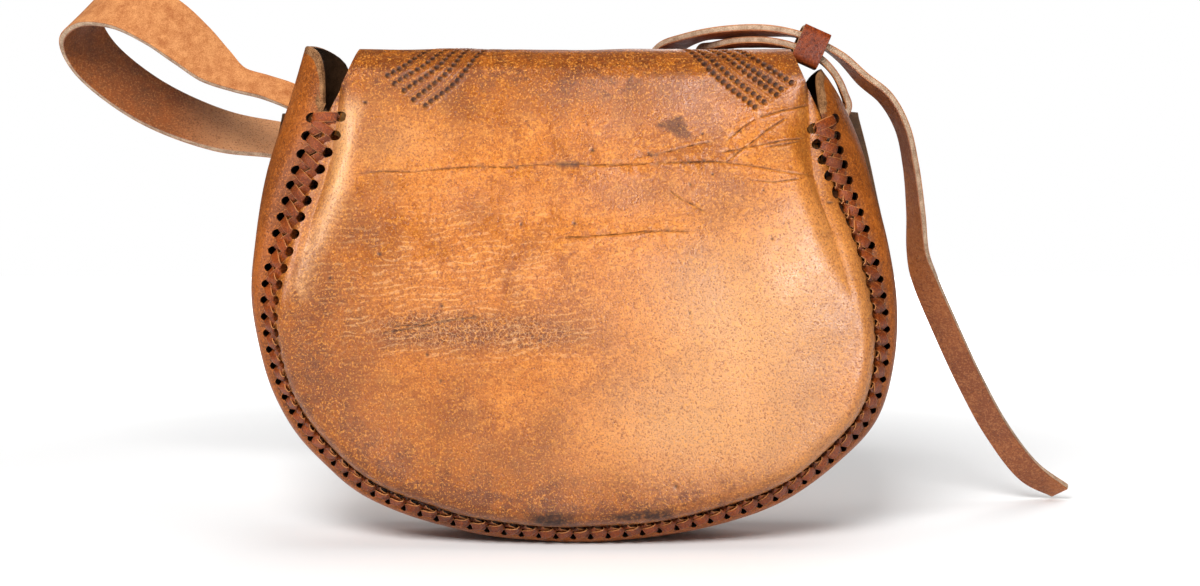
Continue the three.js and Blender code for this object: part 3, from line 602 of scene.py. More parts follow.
def panel_columns(s, side, wall, top_x, top_z, top_depth, bulge):
    """A panel from its seam over the wall and up the face to its top line."""
    lean = panel_lean(s, top_x, top_z)
    rows = [past_seam(s, lean, s.inset + GAP, side * (SEAM_DEPTH - STRIP_LEATHER))]
    for degrees in WALL_ANGLES:
        n, height = wall_line(s, wall, degrees)
        rows.append(past_seam(s, lean, n, side * (SEAM_DEPTH + height)))
    start = rows[-1]
    for q in FACE_SHARES:
        depth = SEAM_DEPTH + wall + (top_depth - SEAM_DEPTH - wall) * eased(q)
        depth = depth + bulge * math.sin(math.pi * q) ** 2
        x = start[:, 0] + (top_x - start[:, 0]) * q
        z = start[:, 2] + (top_z - start[:, 2]) * q
        rows.append(np.stack([x, side * depth, z], -1))
    return rows


def soft_patch(places, x, z, wide, high):
    """1 in the middle of a round patch, and fading over its half width and half height."""
    return np.exp(-((places[:, 0] - x) / wide) ** 2 - ((places[:, 1] - z) / high) ** 2)


def dented(points):
    """The back with its broad dents."""
    points = points.copy()
    for x, z, wide, high, depth in BACK_DENTS:
        points[:, 1] += depth * soft_patch(points[:, ::2], x, z, wide, high)
    return points


def back_top(s):
    return s.share * neck_half(FOLD_START), np.full(s.share.shape, FOLD_START)


def body_columns():
    """The whole piece as a grid of points, one column for each place along its seam."""
    s = Stations(seam_arc(panel_shares))
    share = panel_shares
    top_x, top_z = back_top(s)
    top_depth = FOLD_BACK_MIDDLE + (FOLD_BACK_EDGE - FOLD_BACK_MIDDLE) * share ** 2
    rows = panel_columns(s, -1, s.wall, top_x, top_z, top_depth, BACK_BULGE * (1 - share ** EDGE_POWER))
    rows = rows[:2] + [dented(row) for row in rows[2:]]
    back_y = rows[-1][:, 1] + FOLD_RADIUS
    front_y = FOLD_FRONT - FOLD_RADIUS

    def fold_row(middle_y, side, degrees):
        z = FOLD_START + FOLD_RADIUS * math.sin(math.radians(degrees))
        y = middle_y + side * FOLD_RADIUS * math.cos(math.radians(degrees))
        return np.stack(np.broadcast_arrays(share * neck_half(z), y, z), -1)

    rows += [fold_row(back_y, -1, degrees) for degrees in FOLD_ANGLES]
    rows += [fold_row(back_y + (front_y - back_y) * q, 0, 90) for q in FOLD_TOP_SHARES]
    rows += [fold_row(front_y, 1, degrees) for degrees in (*FOLD_ANGLES[-2::-1], 0)]
    for z in NECK_HEIGHTS:
        q = (FOLD_START - z) / (FOLD_START - FLAP[0][0])
        y = FOLD_FRONT + (FLAP[0][3] - FOLD_FRONT) * q
        rows.append(np.stack(np.broadcast_arrays(share * neck_half(z), y, z), -1))
    left, right, depth = (through(FLAP, value) for value in (1, 2, 3))
    for z in FLAP_HEIGHTS:
        half = np.where(share < 0, left(z), right(z))
        y = depth(z) - FLAP_EDGE_DROP * share ** EDGE_POWER
        rows.append(np.stack(np.broadcast_arrays(share * half, y, z), -1))
    return np.stack(rows, 1)


body_outer = body_columns()
body_normals = grid_normals(body_outer)
body_inner = body_outer - body_normals * PANEL_LEATHER


# Marks on the back: fans of punched rows by the fold, creases, knocks and stains.
PUNCH_PITCH, PUNCH_SIZE, PUNCH_DEPTH = 2.95, 1.4, 0.85
# The swollen rim of each punched mark: its place as a share of the mark's size, its width and its height.
RIM_PLACE, RIM_WIDTH, RIM_HEIGHT = 1.15, 0.45, 0.2
# Between two punched rows runs a bead with a groove on each side.
BEAD_WIDTH, BEAD_HEIGHT = 0.4, 0.16
# The grooves are darkened with painted shade.
GROOVE_PLACE, GROOVE_WIDTH, GROOVE_DEPTH, GROOVE_SHADE = 0.9, 0.35, 0.22, 0.3
ROW_STEPS = 24
# How far up the unrolled leather the tooling starts and ends.
TOOLED_FROM, TOOLED_TO = 190, 262
PUNCH_ROWS = (
    # each row from the back on over the fold, as places x and distance up the unrolled leather
    ((-82, 210.8), (-75.2, 215.2), (-67.5, 223), (-55, 240)),
    ((-78.9, 207.3), (-65.1, 216.6), (-58.4, 225.2), (-46, 242)),
    ((-74.7, 204.2), (-60.8, 214.1), (-51.8, 227), (-41, 244)),
    ((-70.5, 200.2), (-54.3, 213.9), (-46, 230), (-38, 246)),
    ((-65.2, 197.7), (-50.8, 209.1), (-40.4, 225.7), (-30, 244)),
    ((79.5, 196.9), (60.7, 212.1), (48.8, 227.5), (38, 244)),
    ((83.5, 199.2), (67.2, 211.8), (53.5, 227), (43, 246)),
    ((89, 202.3), (74.7, 212.7), (60, 227), (47, 244)),
    ((91, 204.9), (75.5, 216), (64, 228.5), (50, 242)),
    ((95.6, 207.6), (79.7, 219), (68.5, 230.5), (56, 242)),
)
CREASES = (
    # depth, width, points
    (0.55, 0.4, ((-98, 167.5), (-84, 169), (-72, 168.6), (-57, 170), (-43, 171), (-30, 170.6), (-16, 171.8),
                 (-2, 172), (11, 171.5), (26, 171.8), (40, 172.6), (52, 172.9), (62, 173.2), (77, 171.5),
                 (91, 168.9), (106, 166.8))),
    (0.65, 0.42, ((-10, 139), (-6, 139.8), (4, 140.1), (11, 140.9), (21, 141.4), (29, 142.3), (40, 142.7),
                 (52, 142.5))),
    (0.4, 0.36, ((41.4, 160.6), (47.7, 156.2), (52, 154.4), (57.5, 150.8))),
    (0.5, 0.4, ((66.5, 182), (73.7, 187.8), (81, 192.5), (91, 195.4), (104, 197.8))),
    (0.5, 0.4, ((66.5, 172.9), (74.5, 179.1), (79.6, 182.7), (83.9, 186.4), (93.5, 192.5))),
    (0.45, 0.4, ((62.9, 176.9), (73, 178.7), (83.9, 180.9), (93.4, 182.7), (101.6, 183.1))),
    (0.3, 0.36, ((84, 179.5), (93.4, 180.9), (99, 182))),
    (0.35, 0.36, ((25.8, 174.4), (36.7, 176.6), (47.6, 179.1), (54.8, 180.9), (60.7, 182))),
    (0.3, 0.36, ((79.5, 164.9), (87.7, 164.2), (98.8, 165.8))),
    (0.5, 0.45, ((-86, 97.6), (-77.4, 98.9), (-70, 100.3), (-61.2, 102.5), (-53.9, 103.6), (-40.7, 105.1))),
    (0.4, 0.4, ((-80.3, 100.5), (-70, 101.6), (-60, 104.5))),
)
# How a crease wavers, how fast it fades at its ends, and how high its lips stand.
CREASE_WAVER, CREASE_WAVE, CREASE_TAPER, CREASE_LIPS = 0.11, 2.6, 9, 0.35
KNOCKS = (
    # x, z, half width, half height, depth
    (8, 178, 0.9, 0.9, 0.5),
    (0, 146, 0.8, 0.8, 0.4),
    (45, 29, 0.8, 0.8, 0.4),
    (-92, 199, 1.0, 0.8, 0.5),
    (60.7, 167.6, 0.6, 0.5, 0.2),
    (50.9, 163.1, 0.6, 0.7, 0.2),
    (83.0, 160.6, 0.5, 0.5, 0.2),
    (86.8, 139.4, 0.6, 0.6, 0.2),
    (50.7, 106.8, 0.6, 0.6, 0.2),
    (56.3, 185.3, 0.7, 0.5, 0.2),
    (113, 154.8, 1.6, 0.5, 0.3),
    (-85.5, 132.6, 0.8, 0.8, 0.2),
    (-107.5, 122, 0.8, 0.6, 0.2),
    (-58.3, 109.9, 0.9, 0.6, 0.2),
    (-65, 88.2, 0.7, 0.7, 0.2),
    (-23.4, 145.6, 0.6, 0.6, 0.2),
    (-59.2, 76.4, 0.7, 0.6, 0.2),
)
STAIN = ((36.6, 189), (41.7, 191.6), (46.8, 192.6), (48, 190), (49.7, 186.4), (51, 183.6), (46.1, 184),
         (41.7, 187))
SMUDGES = (
    # darkness of each patch of old dirt or oil, x, z, half width, half height
    (0.5, -91.7, 138.1, 9, 10),
    (0.3, -98, 132, 26, 30),
    (0.35, -44.9, 152.4, 8, 6),
    (0.35, -37.6, 146.9, 9, 5),
    (0.3, -17.2, 134.5, 6, 5),
    (0.3, -81.3, 162.9, 7, 5),
    (0.7, -66, 97.5, 24, 6.5),
    (0.65, -43, 98, 22, 7.5),
    (0.5, -12, 98, 20, 7),
    (0.3, -88.4, 89.6, 12, 6),
    (0.4, -110.5, 98, 8, 22),
    (0.25, -99.2, 111, 10, 10),
    (0.25, -46, 79, 22, 6),
    (0.4, -9, 61, 7, 9),
    (0.3, -6, 205, 18, 9),
    (0.25, 20, 198, 9, 9),
    (0.3, -46, 197, 10, 12),
    (0.25, -88, 185, 10, 10),
    (0.25, 30, 160, 22, 8),
    (0.25, -55, 60, 16, 10),
    (0.25, -30, 44, 22, 8),
    (0.3, 95, 182, 14, 10),
)
SCUFFS = (
    # darkness of each patch where the grain is rubbed through, x, z, half width, half height
    (1.0, -10.6, 13.8, 8.5, 3.2),
    (1.0, 23.5, 15.2, 6.0, 1.7),
    (1.0, 35.7, 16.0, 6.5, 2.3),
)
# The ridge of the left shoulder, along which a painted highlight runs.
RIDGE = ((-98, 196), (-100.6, 187), (-102.4, 176), (-103.5, 165), (-107, 154), (-111, 143), (-116.5, 133),
         (-121, 117))
RIDGE_WIDTH = 5.0
# Pale patches: painted highlight where the sheen falls on the broad bulge, with some wear.
HIGHLIGHT_AND_WEAR_PLACES = (
    # strength, x, z, half width, half height
    (0.75, 78, 98, 48, 44),
    (0.35, 100, 130, 18, 26),
    (0.3, -78, 182, 22, 14),
    (0.75, 62, 52, 52, 22),
)
WRINKLED = (
    # strength, x, z, half width, half height
    (1.0, -62, 99, 34, 9),
    (0.95, -20, 97, 26, 9),
    (0.45, -75, 122, 36, 24),
    (0.3, -30, 130, 40, 22),
)
PATCH_FIRMNESS = 0.9
# How dark the fold is (darker leather and painted shade), how dark the neck's edges are, the painted shade
# on the walls, the low edge and the foot, and how dark the stain has become.
FOLD_BURN_AND_SHADE, NECK_EDGE_DARK, WALL_SHADE, LOW_EDGE_SHADE, BACK_FOOT_SHADE, STAIN_BURN = 0.88, 0.8, 0.5, 0.56, 0.68, 0.7
STAIN_LINE, SCUFF_LINE = 0.5, 1.7
# The back is what lies nearer than this, and the rest of the piece, less wrinkled, is flap.
BACK_ENDS, FLAP_CREPE = 10, 0.15
TOOLING_ZONE, NEAR_MARKS, AT_MARKS = 2.9, 2.2, 0.9


def sample(grid, row, col):
    """A smooth point of a grid at fractions of its rows and columns."""
    def weights(q):
        q2, q3 = q * q, q * q * q
        return ((-q + 2 * q2 - q3) / 2, (2 - 5 * q2 + 3 * q3) / 2, (q + 4 * q2 - 3 * q3) / 2, (q3 - q2) / 2)

    r, c = np.floor(row).astype(int), np.floor(col).astype(int)
    by_row, by_col = weights(row - r), weights(col - c)
    total = 0
    for i in range(4):
        at_row = np.clip(r + i - 1, 0, grid.shape[0] - 1)
        for j in range(4):
            at_col = np.clip(c + j - 1, 0, grid.shape[1] - 1)
            total = total + grid[at_row, at_col] * (by_row[i] * by_col[j])[:, None]
    return total


def unrolled(points):
    """Places on the back as x and as the distance up the leather, carried on over the fold."""
    x, y, z = points.T
    share = np.clip(x / neck_half(z), -1, 1)
    fold_y = -(FOLD_BACK_MIDDLE + (FOLD_BACK_EDGE - FOLD_BACK_MIDDLE) * share ** 2) + FOLD_RADIUS
    angle = np.arctan2(np.maximum(z - FOLD_START, 0), np.maximum(fold_y - y, 0) + 1e-6)
    up = np.where(z > FOLD_START, FOLD_START + FOLD_RADIUS * angle, z)
    up = np.where((z > FOLD_START) & (y > fold_y), up + y - fold_y, up)
    return np.stack([x, np.where((y > 30) & (z < FOLD_START), -500.0, up)], -1)


def near_line(places, points):
    """The distance from each place to a line of points, and how far along the line it is (0 to 1)."""
    best = np.full(len(places), 1e9)
    along = np.zeros(len(places))
    points = np.array(points, float)
    lengths = np.linalg.norm(np.diff(points, axis=0), axis=1)
    before = 0.0
    for a, b, length in zip(points, points[1:], lengths):
        t = np.clip((places - a) @ (b - a) / length ** 2, 0, 1)
        away = np.linalg.norm(places - a - t[:, None] * (b - a), axis=1)
        nearer = away < best
        best = np.where(nearer, away, best)
        along = np.where(nearer, (before + t * length) / lengths.sum(), along)
        before += length
    return best, along


def row_line(row):
    """A punched row, or the line between two of them, as short straight steps."""
    return catmull(row, np.linspace(0, 1, ROW_STEPS + 1), True)


def punch_spots():
    spots = []
    for row in PUNCH_ROWS:
        line = row_line(row)
        length = lengths_along(line)
        stops = np.arange(0, length[-1], PUNCH_PITCH)
        spots.append(np.column_stack([np.interp(stops, length, line[:, axis]) for axis in (0, 1)]))
    return np.concatenate(spots)


punch_places = punch_spots()


def nearest_punch(places):
    """The way from the nearest punched mark to each place."""
    best, way = np.full(len(places), 1e9), np.zeros_like(places)
    for spot in punch_places:
        off = places - spot
        away = np.einsum("ij,ij->i", off, off)
        nearer = away < best
        best = np.where(nearer, away, best)
        way[nearer] = off[nearer]
    return way


def bell(away, width):
    return np.exp(-(away / width) ** 2)


def back_relief(points):
    """How far the marks stand out of the back (or are pressed in), and how dark they are."""
    flat = unrolled(points)
    height = waves(points, size=42, height=0.35, seed=5) + waves(points, size=17, height=0.10, seed=6)
    line = np.zeros(len(points))
    tooled = (flat[:, 1] > TOOLED_FROM) & (flat[:, 1] < TOOLED_TO)
    off = nearest_punch(flat[tooled])
    away, slant = np.hypot(*off.T), off[:, 0] - off[:, 1]
    pressed = np.clip(1 - (away / PUNCH_SIZE) ** 3, 0, 1)
    rim = bell(away - PUNCH_SIZE * RIM_PLACE, RIM_WIDTH) * np.clip(0.35 + slant * 0.4, 0, 1)
    height[tooled] += RIM_HEIGHT * rim - PUNCH_DEPTH * pressed * (0.8 - 0.25 * slant)
    # The pits are dark, darkest on their deeper side: partly the pressed leather's tone, partly painted
    # shade.
    line[tooled] = np.clip(pressed * 2.2, 0, 1) * np.clip(0.9 - 0.3 * slant, 0.4, 1)
    for row, after in zip(PUNCH_ROWS, PUNCH_ROWS[1:]):
        if row[0][0] * after[0][0] < 0:
            continue
        away, _ = near_line(flat[tooled], row_line((np.array(row) + after) / 2))
        groove = bell(away - GROOVE_PLACE, GROOVE_WIDTH)
        height[tooled] += BEAD_HEIGHT * bell(away, BEAD_WIDTH) - GROOVE_DEPTH * groove
        # Painted shade in the grooves.
        line[tooled] = np.maximum(line[tooled], GROOVE_SHADE * groove)
    waver = waves(points, size=CREASE_WAVE, height=CREASE_WAVER, seed=7)
    for depth, width, crease in CREASES:
        away, along = near_line(flat, crease)
        away = np.abs(away + waver)
        uneven = 0.75 + 0.25 * np.sin(along * 37 + depth * 90) * np.sin(along * 11)
        strength = np.clip(np.minimum(along, 1 - along) * CREASE_TAPER, 0, 1) ** 0.6 * uneven
        height += depth * strength * (CREASE_LIPS * bell(away - width * 2, width) - bell(away, width))
        # Painted shade along the bottom of each crease.
        line = np.maximum(line, strength * bell(away, width * 0.75))
    for x, z, wide, high, depth in KNOCKS:
        here = soft_patch(flat, x, z, wide, high)
        height -= depth * here
        line = np.maximum(line, here)
    return height, line


def layered(*shares):
    """The share that is covered where several shares lie on each other."""
    return 1 - math.prod(1 - share for share in shares)


def patches(points, table):
    """How strongly soft patches of a table lie on places of the back."""
    flat = unrolled(points)
    return layered(*(strength * soft_patch(flat, *patch) ** PATCH_FIRMNESS for strength, *patch in table))


def in_stain(points):
    """How deep in the stain places of the back lie, from 0 to 1."""
    flat = unrolled(points)
    corners = np.array(STAIN, float)
    wound = np.zeros(len(points))
    for (x0, z0), (x1, z1) in zip(corners, np.roll(corners, -1, axis=0)):
        crosses = (flat[:, 1] > min(z0, z1)) & (flat[:, 1] <= max(z0, z1))
        at_x = x0 + (flat[:, 1] - z0) * (x1 - x0) / (z1 - z0)
        wound += crosses & (flat[:, 0] < at_x)
    edge = near_line(flat, (*STAIN, STAIN[0]))[0]
    inward = np.where(wound % 2 == 1, edge, -edge) + waves(points, size=3.2, height=0.3, seed=8)
    return np.clip(0.8 + inward * 0.6, 0, 1) * (0.85 + waves(points, size=2.2, height=0.15, seed=9))


def in_tooling(points):
    """Where the punched rows and the scuffs need a finer mesh."""
    flat = unrolled(points)
    zone = patches(points, SCUFFS) > 0.15
    for row in PUNCH_ROWS:
        zone |= near_line(flat, row_line(row))[0] < TOOLING_ZONE
    return zone


def within(reach):
    """Says where creases, knocks and the stain are near enough to need a finer mesh."""

    def in_marks(points):
        flat = unrolled(points)
        zone = near_line(flat, (*STAIN, STAIN[0]))[0] < reach
        for _, _, crease in CREASES:
            zone |= near_line(flat, crease)[0] < reach
        for x, z, wide, _, _ in KNOCKS:
            zone |= np.hypot(flat[:, 0] - x, flat[:, 1] - z) < reach + wide
        return zone & ~in_tooling(points)

    return in_marks


def refined(made, grid, normals, zones):
    """Cuts a mesh finer in some zones, and puts every point of its grain side on the smooth surface."""
    rows, cols = grid.shape[:2]
    order = np.arange(rows * cols)
    rest = (0, len(made.data.vertices) - rows * cols)
    mark(made, "row", np.pad(order // cols, rest, constant_values=-1))
    mark(made, "col", np.pad(order % cols, rest, constant_values=-1))
    shape = bmesh.new()
    shape.from_mesh(made.data)
    for in_zone, cuts in zones:
        row_of = shape.verts.layers.float["row"]
        outer = [face for face in shape.faces if all(v[row_of] >= 0 for v in face.verts)]
        middles = np.array([face.calc_center_median() for face in outer]) / MM
        edges = {edge for i in np.flatnonzero(in_zone(middles)) for edge in outer[i].edges}
        bmesh.ops.subdivide_edges(shape, edges=list(edges), cuts=cuts, use_grid_fill=True)
    shape.to_mesh(made.data)
    shape.free()
    row, col = read_mark(made, "row"), read_mark(made, "col")
    grain = row >= 0
    spots = places(made)
    spots[grain] = sample(grid, row[grain], col[grain])
    height, _ = back_relief(spots[grain])
    spots[grain] += unit(sample(normals, row[grain], col[grain])) * height[:, None]
    made.data.vertices.foreach_set("co", (spots * MM).astype(np.float32).ravel())
    made.data.update()
    soften(made)


def mark_back(made):
    """Writes the lines, stains and wrinkles of the back, its worn places and painted highlights, and its
    darker rims and fold, which are mostly painted shade.
    """
    spots = places(made)
    x, y, z = spots.T
    on_back = y < BACK_ENDS
    stain = in_stain(spots)
    neck_edge = ramp(np.clip(np.abs(x) / neck_half(z), 0, 1), 0.965, 0.995) * (z > 196)
    # The walls, the low edge and the foot turn away from the light, and the fold's top partly so: painted
    # shade.
    wall = ramp(y, -SEAM_DEPTH - 11, -SEAM_DEPTH - 2) * (y < -SEAM_DEPTH + 3) * (z < 190)
    outward = np.hypot(x / 146, (z - 112) / 110)
    low_edge = ramp(outward, 0.55, 0.9) * ramp(z, 165, 105) * np.clip(1 - x / 150, 0.15, 1.3)
    burnt_and_shade = layered(patches(spots, SMUDGES), FOLD_BURN_AND_SHADE * ramp(z, 188, 220), NECK_EDGE_DARK * neck_edge,
                    WALL_SHADE * wall, LOW_EDGE_SHADE * low_edge, BACK_FOOT_SHADE * ramp(z, 38, 18),
                    STAIN_BURN * stain)
    mark(made, "dark", np.where(on_back | (z > 200), burnt_and_shade, 0.0))
    # Painted highlight along the left ridge and over the pale patches, with some wear.
    ridge_highlight = bell(near_line(unrolled(spots), RIDGE)[0], RIDGE_WIDTH)
    mark(made, "pale", np.where(on_back, np.maximum(patches(spots, HIGHLIGHT_AND_WEAR_PLACES), ridge_highlight), 0.0))
    mark(made, "crepe", np.where(on_back, patches(spots, WRINKLED), FLAP_CREPE))
    rubbed = np.clip(patches(spots, SCUFFS) * SCUFF_LINE, 0, 1)
    rubbed *= np.clip(0.9 + waves(spots, size=2.0, height=0.5, seed=10), 0, 1)
    lines = np.maximum(rubbed, STAIN_LINE * stain) * on_back
    mark(made, "line", np.maximum(back_relief(spots)[1], lines))


body = mesh_object("body_and_flap", *closed_skin(body_outer, body_inner))
refined(body, body_outer, body_normals, ((in_tooling, 2), (within(NEAR_MARKS), 1), (within(AT_MARKS), 3)))
body_leather = leather("body leather", ("8c4814", "c06c1e", "de9038", "e8b078", "5e2a0c"),
                       ("4a3018", "6d4a2a"), ("a87a4a", "7a4d28"), shine=0.31, grain_depth=0.1)
finished(body, body_leather, ["back_flap"])

# ---- Front panel ----
# The front of the bag is closed by a second panel, under the flap. It is cut from the same leather and
# moulded like the back, with a lower wall, and is laced to the side strip in the same way.

FRONT_TOP_HEIGHT = 191.0
FRONT_TOP_HALF = 94.0
FRONT_TOP_DEPTH = 34.0
FRONT_WALL_SHARE = 0.58
FRONT_LEAST_WALL = 3.0
FRONT_BULGE = 1.5


def front_top(s):
    return s.share * FRONT_TOP_HALF, np.full(s.share.shape, FRONT_TOP_HEIGHT)


def front_wall(s):
    return np.maximum(s.wall * FRONT_WALL_SHARE, FRONT_LEAST_WALL)


front_stations = Stations(seam_arc(panel_shares))
front_columns = panel_columns(front_stations, 1, front_wall(front_stations), *front_top(front_stations),
                              FRONT_TOP_DEPTH, FRONT_BULGE * (1 - panel_shares ** EDGE_POWER))
front_outer = np.stack(front_columns, 1)
front_inner = front_outer + grid_normals(front_outer) * PANEL_LEATHER
front = mesh_object("front_panel_leather", *closed_skin(front_outer, front_inner))
finished(front, body_leather, ["front_panel"])

# ---- Lacing holes ----
# Two rows of holes are punched along each seam, one in the turned-in edge of the side strip
# and one in the moulded wall of the panel, 76 to a row and 8 mm apart.

HOLES = 76
FIRST_HOLE, LAST_HOLE = -0.988, 0.99
HOLE_RADIUS, HOLE_STRETCH, HOLE_SIDES = 1.8, 1.4, 14
# How much wider than the lowest holes the ones by the ears have been pulled.
HOLE_WORN = 0.3
PUNCH_LENGTH = 9.0
HOLE_ROWS = (
    # share of the seam, the strip's hole from its edge, the panel's hole as an angle round its wall
    # (past 90 it lies on the face), and how far along the seam the strip's and the panel's are shifted
    (-1.00, 7.1, 112, 0.0, 10.0),
    (-0.96, 6.0, 92, 0.2, 6.9),
    (-0.93, 5.3, 74, 0.7, 3.6),
    (-0.90, 5.4, 62, 0.8, 2.2),
    (-0.80, 4.4, 50, 0.8, 1.3),
    (-0.60, 3.2, 30, 0.5, 0.7),
    (-0.45, 3.4, 17, 0.0, 0.0),
    (-0.25, 4.2, 12, 0.0, 0.0),
    (0.00, 4.0, 16, 0.0, 0.0),
    (0.12, 3.8, 18, 0.0, 0.0),
    (0.30, 4.2, 20, 0.0, 0.0),
    (0.66, 3.9, 24, 0.0, 0.0),
    (0.80, 4.9, 20, 0.0, -1.5),
    (0.87, 5.6, 16, 0.0, -2.8),
    (0.92, 4.6, 44, -0.6, -5.0),
    (0.955, 3.8, 64, -2.2, -8.5),
    (1.00, 6.4, 84, -2.8, -13.5),
)
strip_hole, panel_angle, strip_shift, panel_shift = (through(HOLE_ROWS, value) for value in (1, 2, 3, 4))
hole_shares = np.linspace(FIRST_HOLE, LAST_HOLE, HOLES)


def settled(made):
    """Turns a mesh and its modifiers into a plain mesh."""
    plain = bpy.data.meshes.new_from_object(made.evaluated_get(bpy.context.evaluated_depsgraph_get()))
    made.modifiers.clear()
    made.data = plain


def cut_away(made, cutter):
    """Takes the cutter's shape out of a closed mesh, and deletes the cutter."""
    modifier = made.modifiers.new("cut", "BOOLEAN")
    modifier.operation = "DIFFERENCE"
    modifier.solver = "MANIFOLD"
    modifier.object = cutter
    settled(made)
    bpy.data.objects.remove(cutter)


def new_tree(name, sizes):
    """A Geometry Nodes tree with a geometry input, named sizes and a geometry output."""
    tree = bpy.data.node_groups.new(name, "GeometryNodeTree")
    tree.interface.new_socket("Path", in_out="INPUT", socket_type="NodeSocketGeometry")
    for size in sizes:
        tree.interface.new_socket(size, in_out="INPUT", socket_type="NodeSocketFloat")
    tree.interface.new_socket("Finish", in_out="INPUT", socket_type="NodeSocketMaterial")
    tree.interface.new_socket("Result", in_out="OUTPUT", socket_type="NodeSocketGeometry")
    return tree, tree.nodes.new("NodeGroupInput").outputs


def end_tree(tree, geometry, finish):
    geometry = node(tree, "GeometryNodeRealizeInstances", Geometry=geometry)
    geometry = node(tree, "GeometryNodeSetMaterial", Geometry=geometry, Material=finish)
    tree.links.new(geometry, tree.nodes.new("NodeGroupOutput").inputs[0])


def grown(tree, base, finish, **sizes):
    """Runs a tree on a base mesh and returns the result as a plain mesh object."""
    modifier = base.modifiers.new("grow", "NODES")
    modifier.node_group = tree
    for item in tree.interface.items_tree:
        if item.in_out == "INPUT" and item.name in sizes:
            modifier[item.identifier] = sizes[item.name]
        if item.in_out == "INPUT" and item.name == "Finish":
            modifier[item.identifier] = finish
    settled(base)
    return base


def stored(tree, name, kind="FLOAT"):
    """A number or a vector that is stored on the base mesh."""
    return node(tree, "GeometryNodeInputNamedAttribute", settings=(("data_type", kind),), Name=name)


# The punch that makes holes along a seam: at each point a short rod lies along "lie", its size is "wide",
# and the lacing has pulled the hole longer along "pull".
punch_tree, punch_in = new_tree("punch", ("Radius", "Length", "Stretch"))
rod = node(punch_tree, "GeometryNodeMeshCylinder", Vertices=HOLE_SIDES, Radius=punch_in["Radius"],
           Depth=punch_in["Length"])
# Its faces are marked punched, which paints the holes' walls near black as painted shade.
rod = node(punch_tree, "GeometryNodeStoreNamedAttribute", Geometry=rod, Name="punched", Value=1.0,
           settings=(("domain", "FACE"),))
turned = node(punch_tree, "FunctionNodeAlignRotationToVector",
              Vector=stored(punch_tree, "lie", "FLOAT_VECTOR"))
turned = node(punch_tree, "FunctionNodeAlignRotationToVector", settings=(("axis", "X"), ("pivot_axis", "Z")),
              Rotation=turned, Vector=stored(punch_tree, "pull", "FLOAT_VECTOR"))
wide = stored(punch_tree, "wide")
longer = node(punch_tree, "ShaderNodeCombineXYZ", i0=times(punch_tree, punch_in["Stretch"], wide), i1=wide,
              i2=1.0)
rods = node(punch_tree, "GeometryNodeInstanceOnPoints", Points=punch_in["Path"], Instance=rod,
            Rotation=turned, Scale=longer)
end_tree(punch_tree, rods, punch_in["Finish"])


def strip_line(s, n):
    """The height of the strip's turned-in edge, n inside the outline."""
    angle = np.arccos(np.clip((1 - n / s.inset), 0, 1) ** (s.roundness / 2))
    return SEAM_DEPTH * (np.sin(angle) ** (2 / s.roundness) - 1)


class Seam:
    """The holes of one laced seam: places and outward directions, on the strip (0) and the panel (1)."""

    def __init__(self, side, wall_of, top_of):
        arcs = seam_arc(hole_shares)
        s = Stations(arcs + strip_shift(hole_shares))
        n = s.inset - strip_hole(hole_shares)
        at_strip = self.spot(s, side, top_of, (n, strip_line(s, n)), (n + 0.2, strip_line(s, n + 0.2)))
        s = Stations(arcs + panel_shift(hole_shares))
        angle = panel_angle(hole_shares)
        wall = wall_of(s)
        at_panel = self.spot(s, side, top_of, wall_line(s, wall, angle), wall_line(s, wall, angle + 1))
        self.spots = (at_strip[0], at_panel[0])
        self.outs = (at_strip[1], at_panel[1])
        self.along = unit(np.gradient(at_strip[0] + at_panel[0], axis=0))

    @staticmethod
    def spot(s, side, top_of, here, beyond):
        lean = panel_lean(s, *top_of(s))

        def place(n, height):
            return past_seam(s, lean, n, side * (SEAM_DEPTH + height))

        run, rise = beyond[0] - here[0], beyond[1] - here[1]
        base = place(*here)
        return base, unit(place(here[0] - rise, here[1] + run) - base)

    def over(self, strip_k, panel_k, v, lift):
        """Points of a straight line from a strip hole to a panel hole, lifted off the leather."""
        v = np.atleast_1d(v)[:, None]
        out = unit(self.outs[0][strip_k] * (1 - v) + self.outs[1][panel_k] * v)
        line = self.spots[0][strip_k] * (1 - v) + self.spots[1][panel_k] * v
        return line + out * np.atleast_1d(lift)[:, None], out


back_seam = Seam(-1, lambda s: s.wall, back_top)
front_seam = Seam(1, front_wall, front_top)


def punch_row(seams, end):
    """Rods through all the holes on one side of some seams, as one cutter."""
    made = linked("punches", np.concatenate([seam.spots[end] for seam in seams]))
    mark(made, "lie", np.concatenate([seam.outs[end] for seam in seams]))
    mark(made, "pull", np.concatenate([seam.spots[1 - end] - seam.spots[end] for seam in seams]))
    mark(made, "wide", np.tile(1 + HOLE_WORN * np.abs(hole_shares) ** 3, len(seams)))
    return grown(punch_tree, made, side_leather, Radius=HOLE_RADIUS * MM, Length=PUNCH_LENGTH * MM,
                 Stretch=HOLE_STRETCH)


cut_away(side_strip, punch_row((back_seam, front_seam), 0))
cut_away(body, punch_row((back_seam,), 1))
mark_back(body)
cut_away(front, punch_row((front_seam,), 1))

# ---- Lacing ----
# Two dark brown thongs of soft leather lace each seam with a row of crosses. Each thong goes over the
# seam to the next hole of the other row, down through it, and back across on the inside.

THONG_WIDE, THONG_THICK = 4.5, 0.95
THONG_AT_HOLE = 0.6
THONG_CURVE_STEPS = 2
THONG_SIDES, THONG_SHARP_DEGREES = 14, 60
# How full the corners of a thong's flat section are, over its thickness and its width.
THICK_POWER, WIDE_POWER = 0.6, 0.75
HOLE_SHIFT, TOWARDS_SEAM = 0.8, 1.8
DEEP, SHALLOW = 3.8, 0.9
OVER_SHARES = np.linspace(0.13, 0.87, 7)
OVER_LIFT = 0.55
TOP_CROWN, UNDER_CROWN, END_CROWN = 1.35, 0.15, 0.6
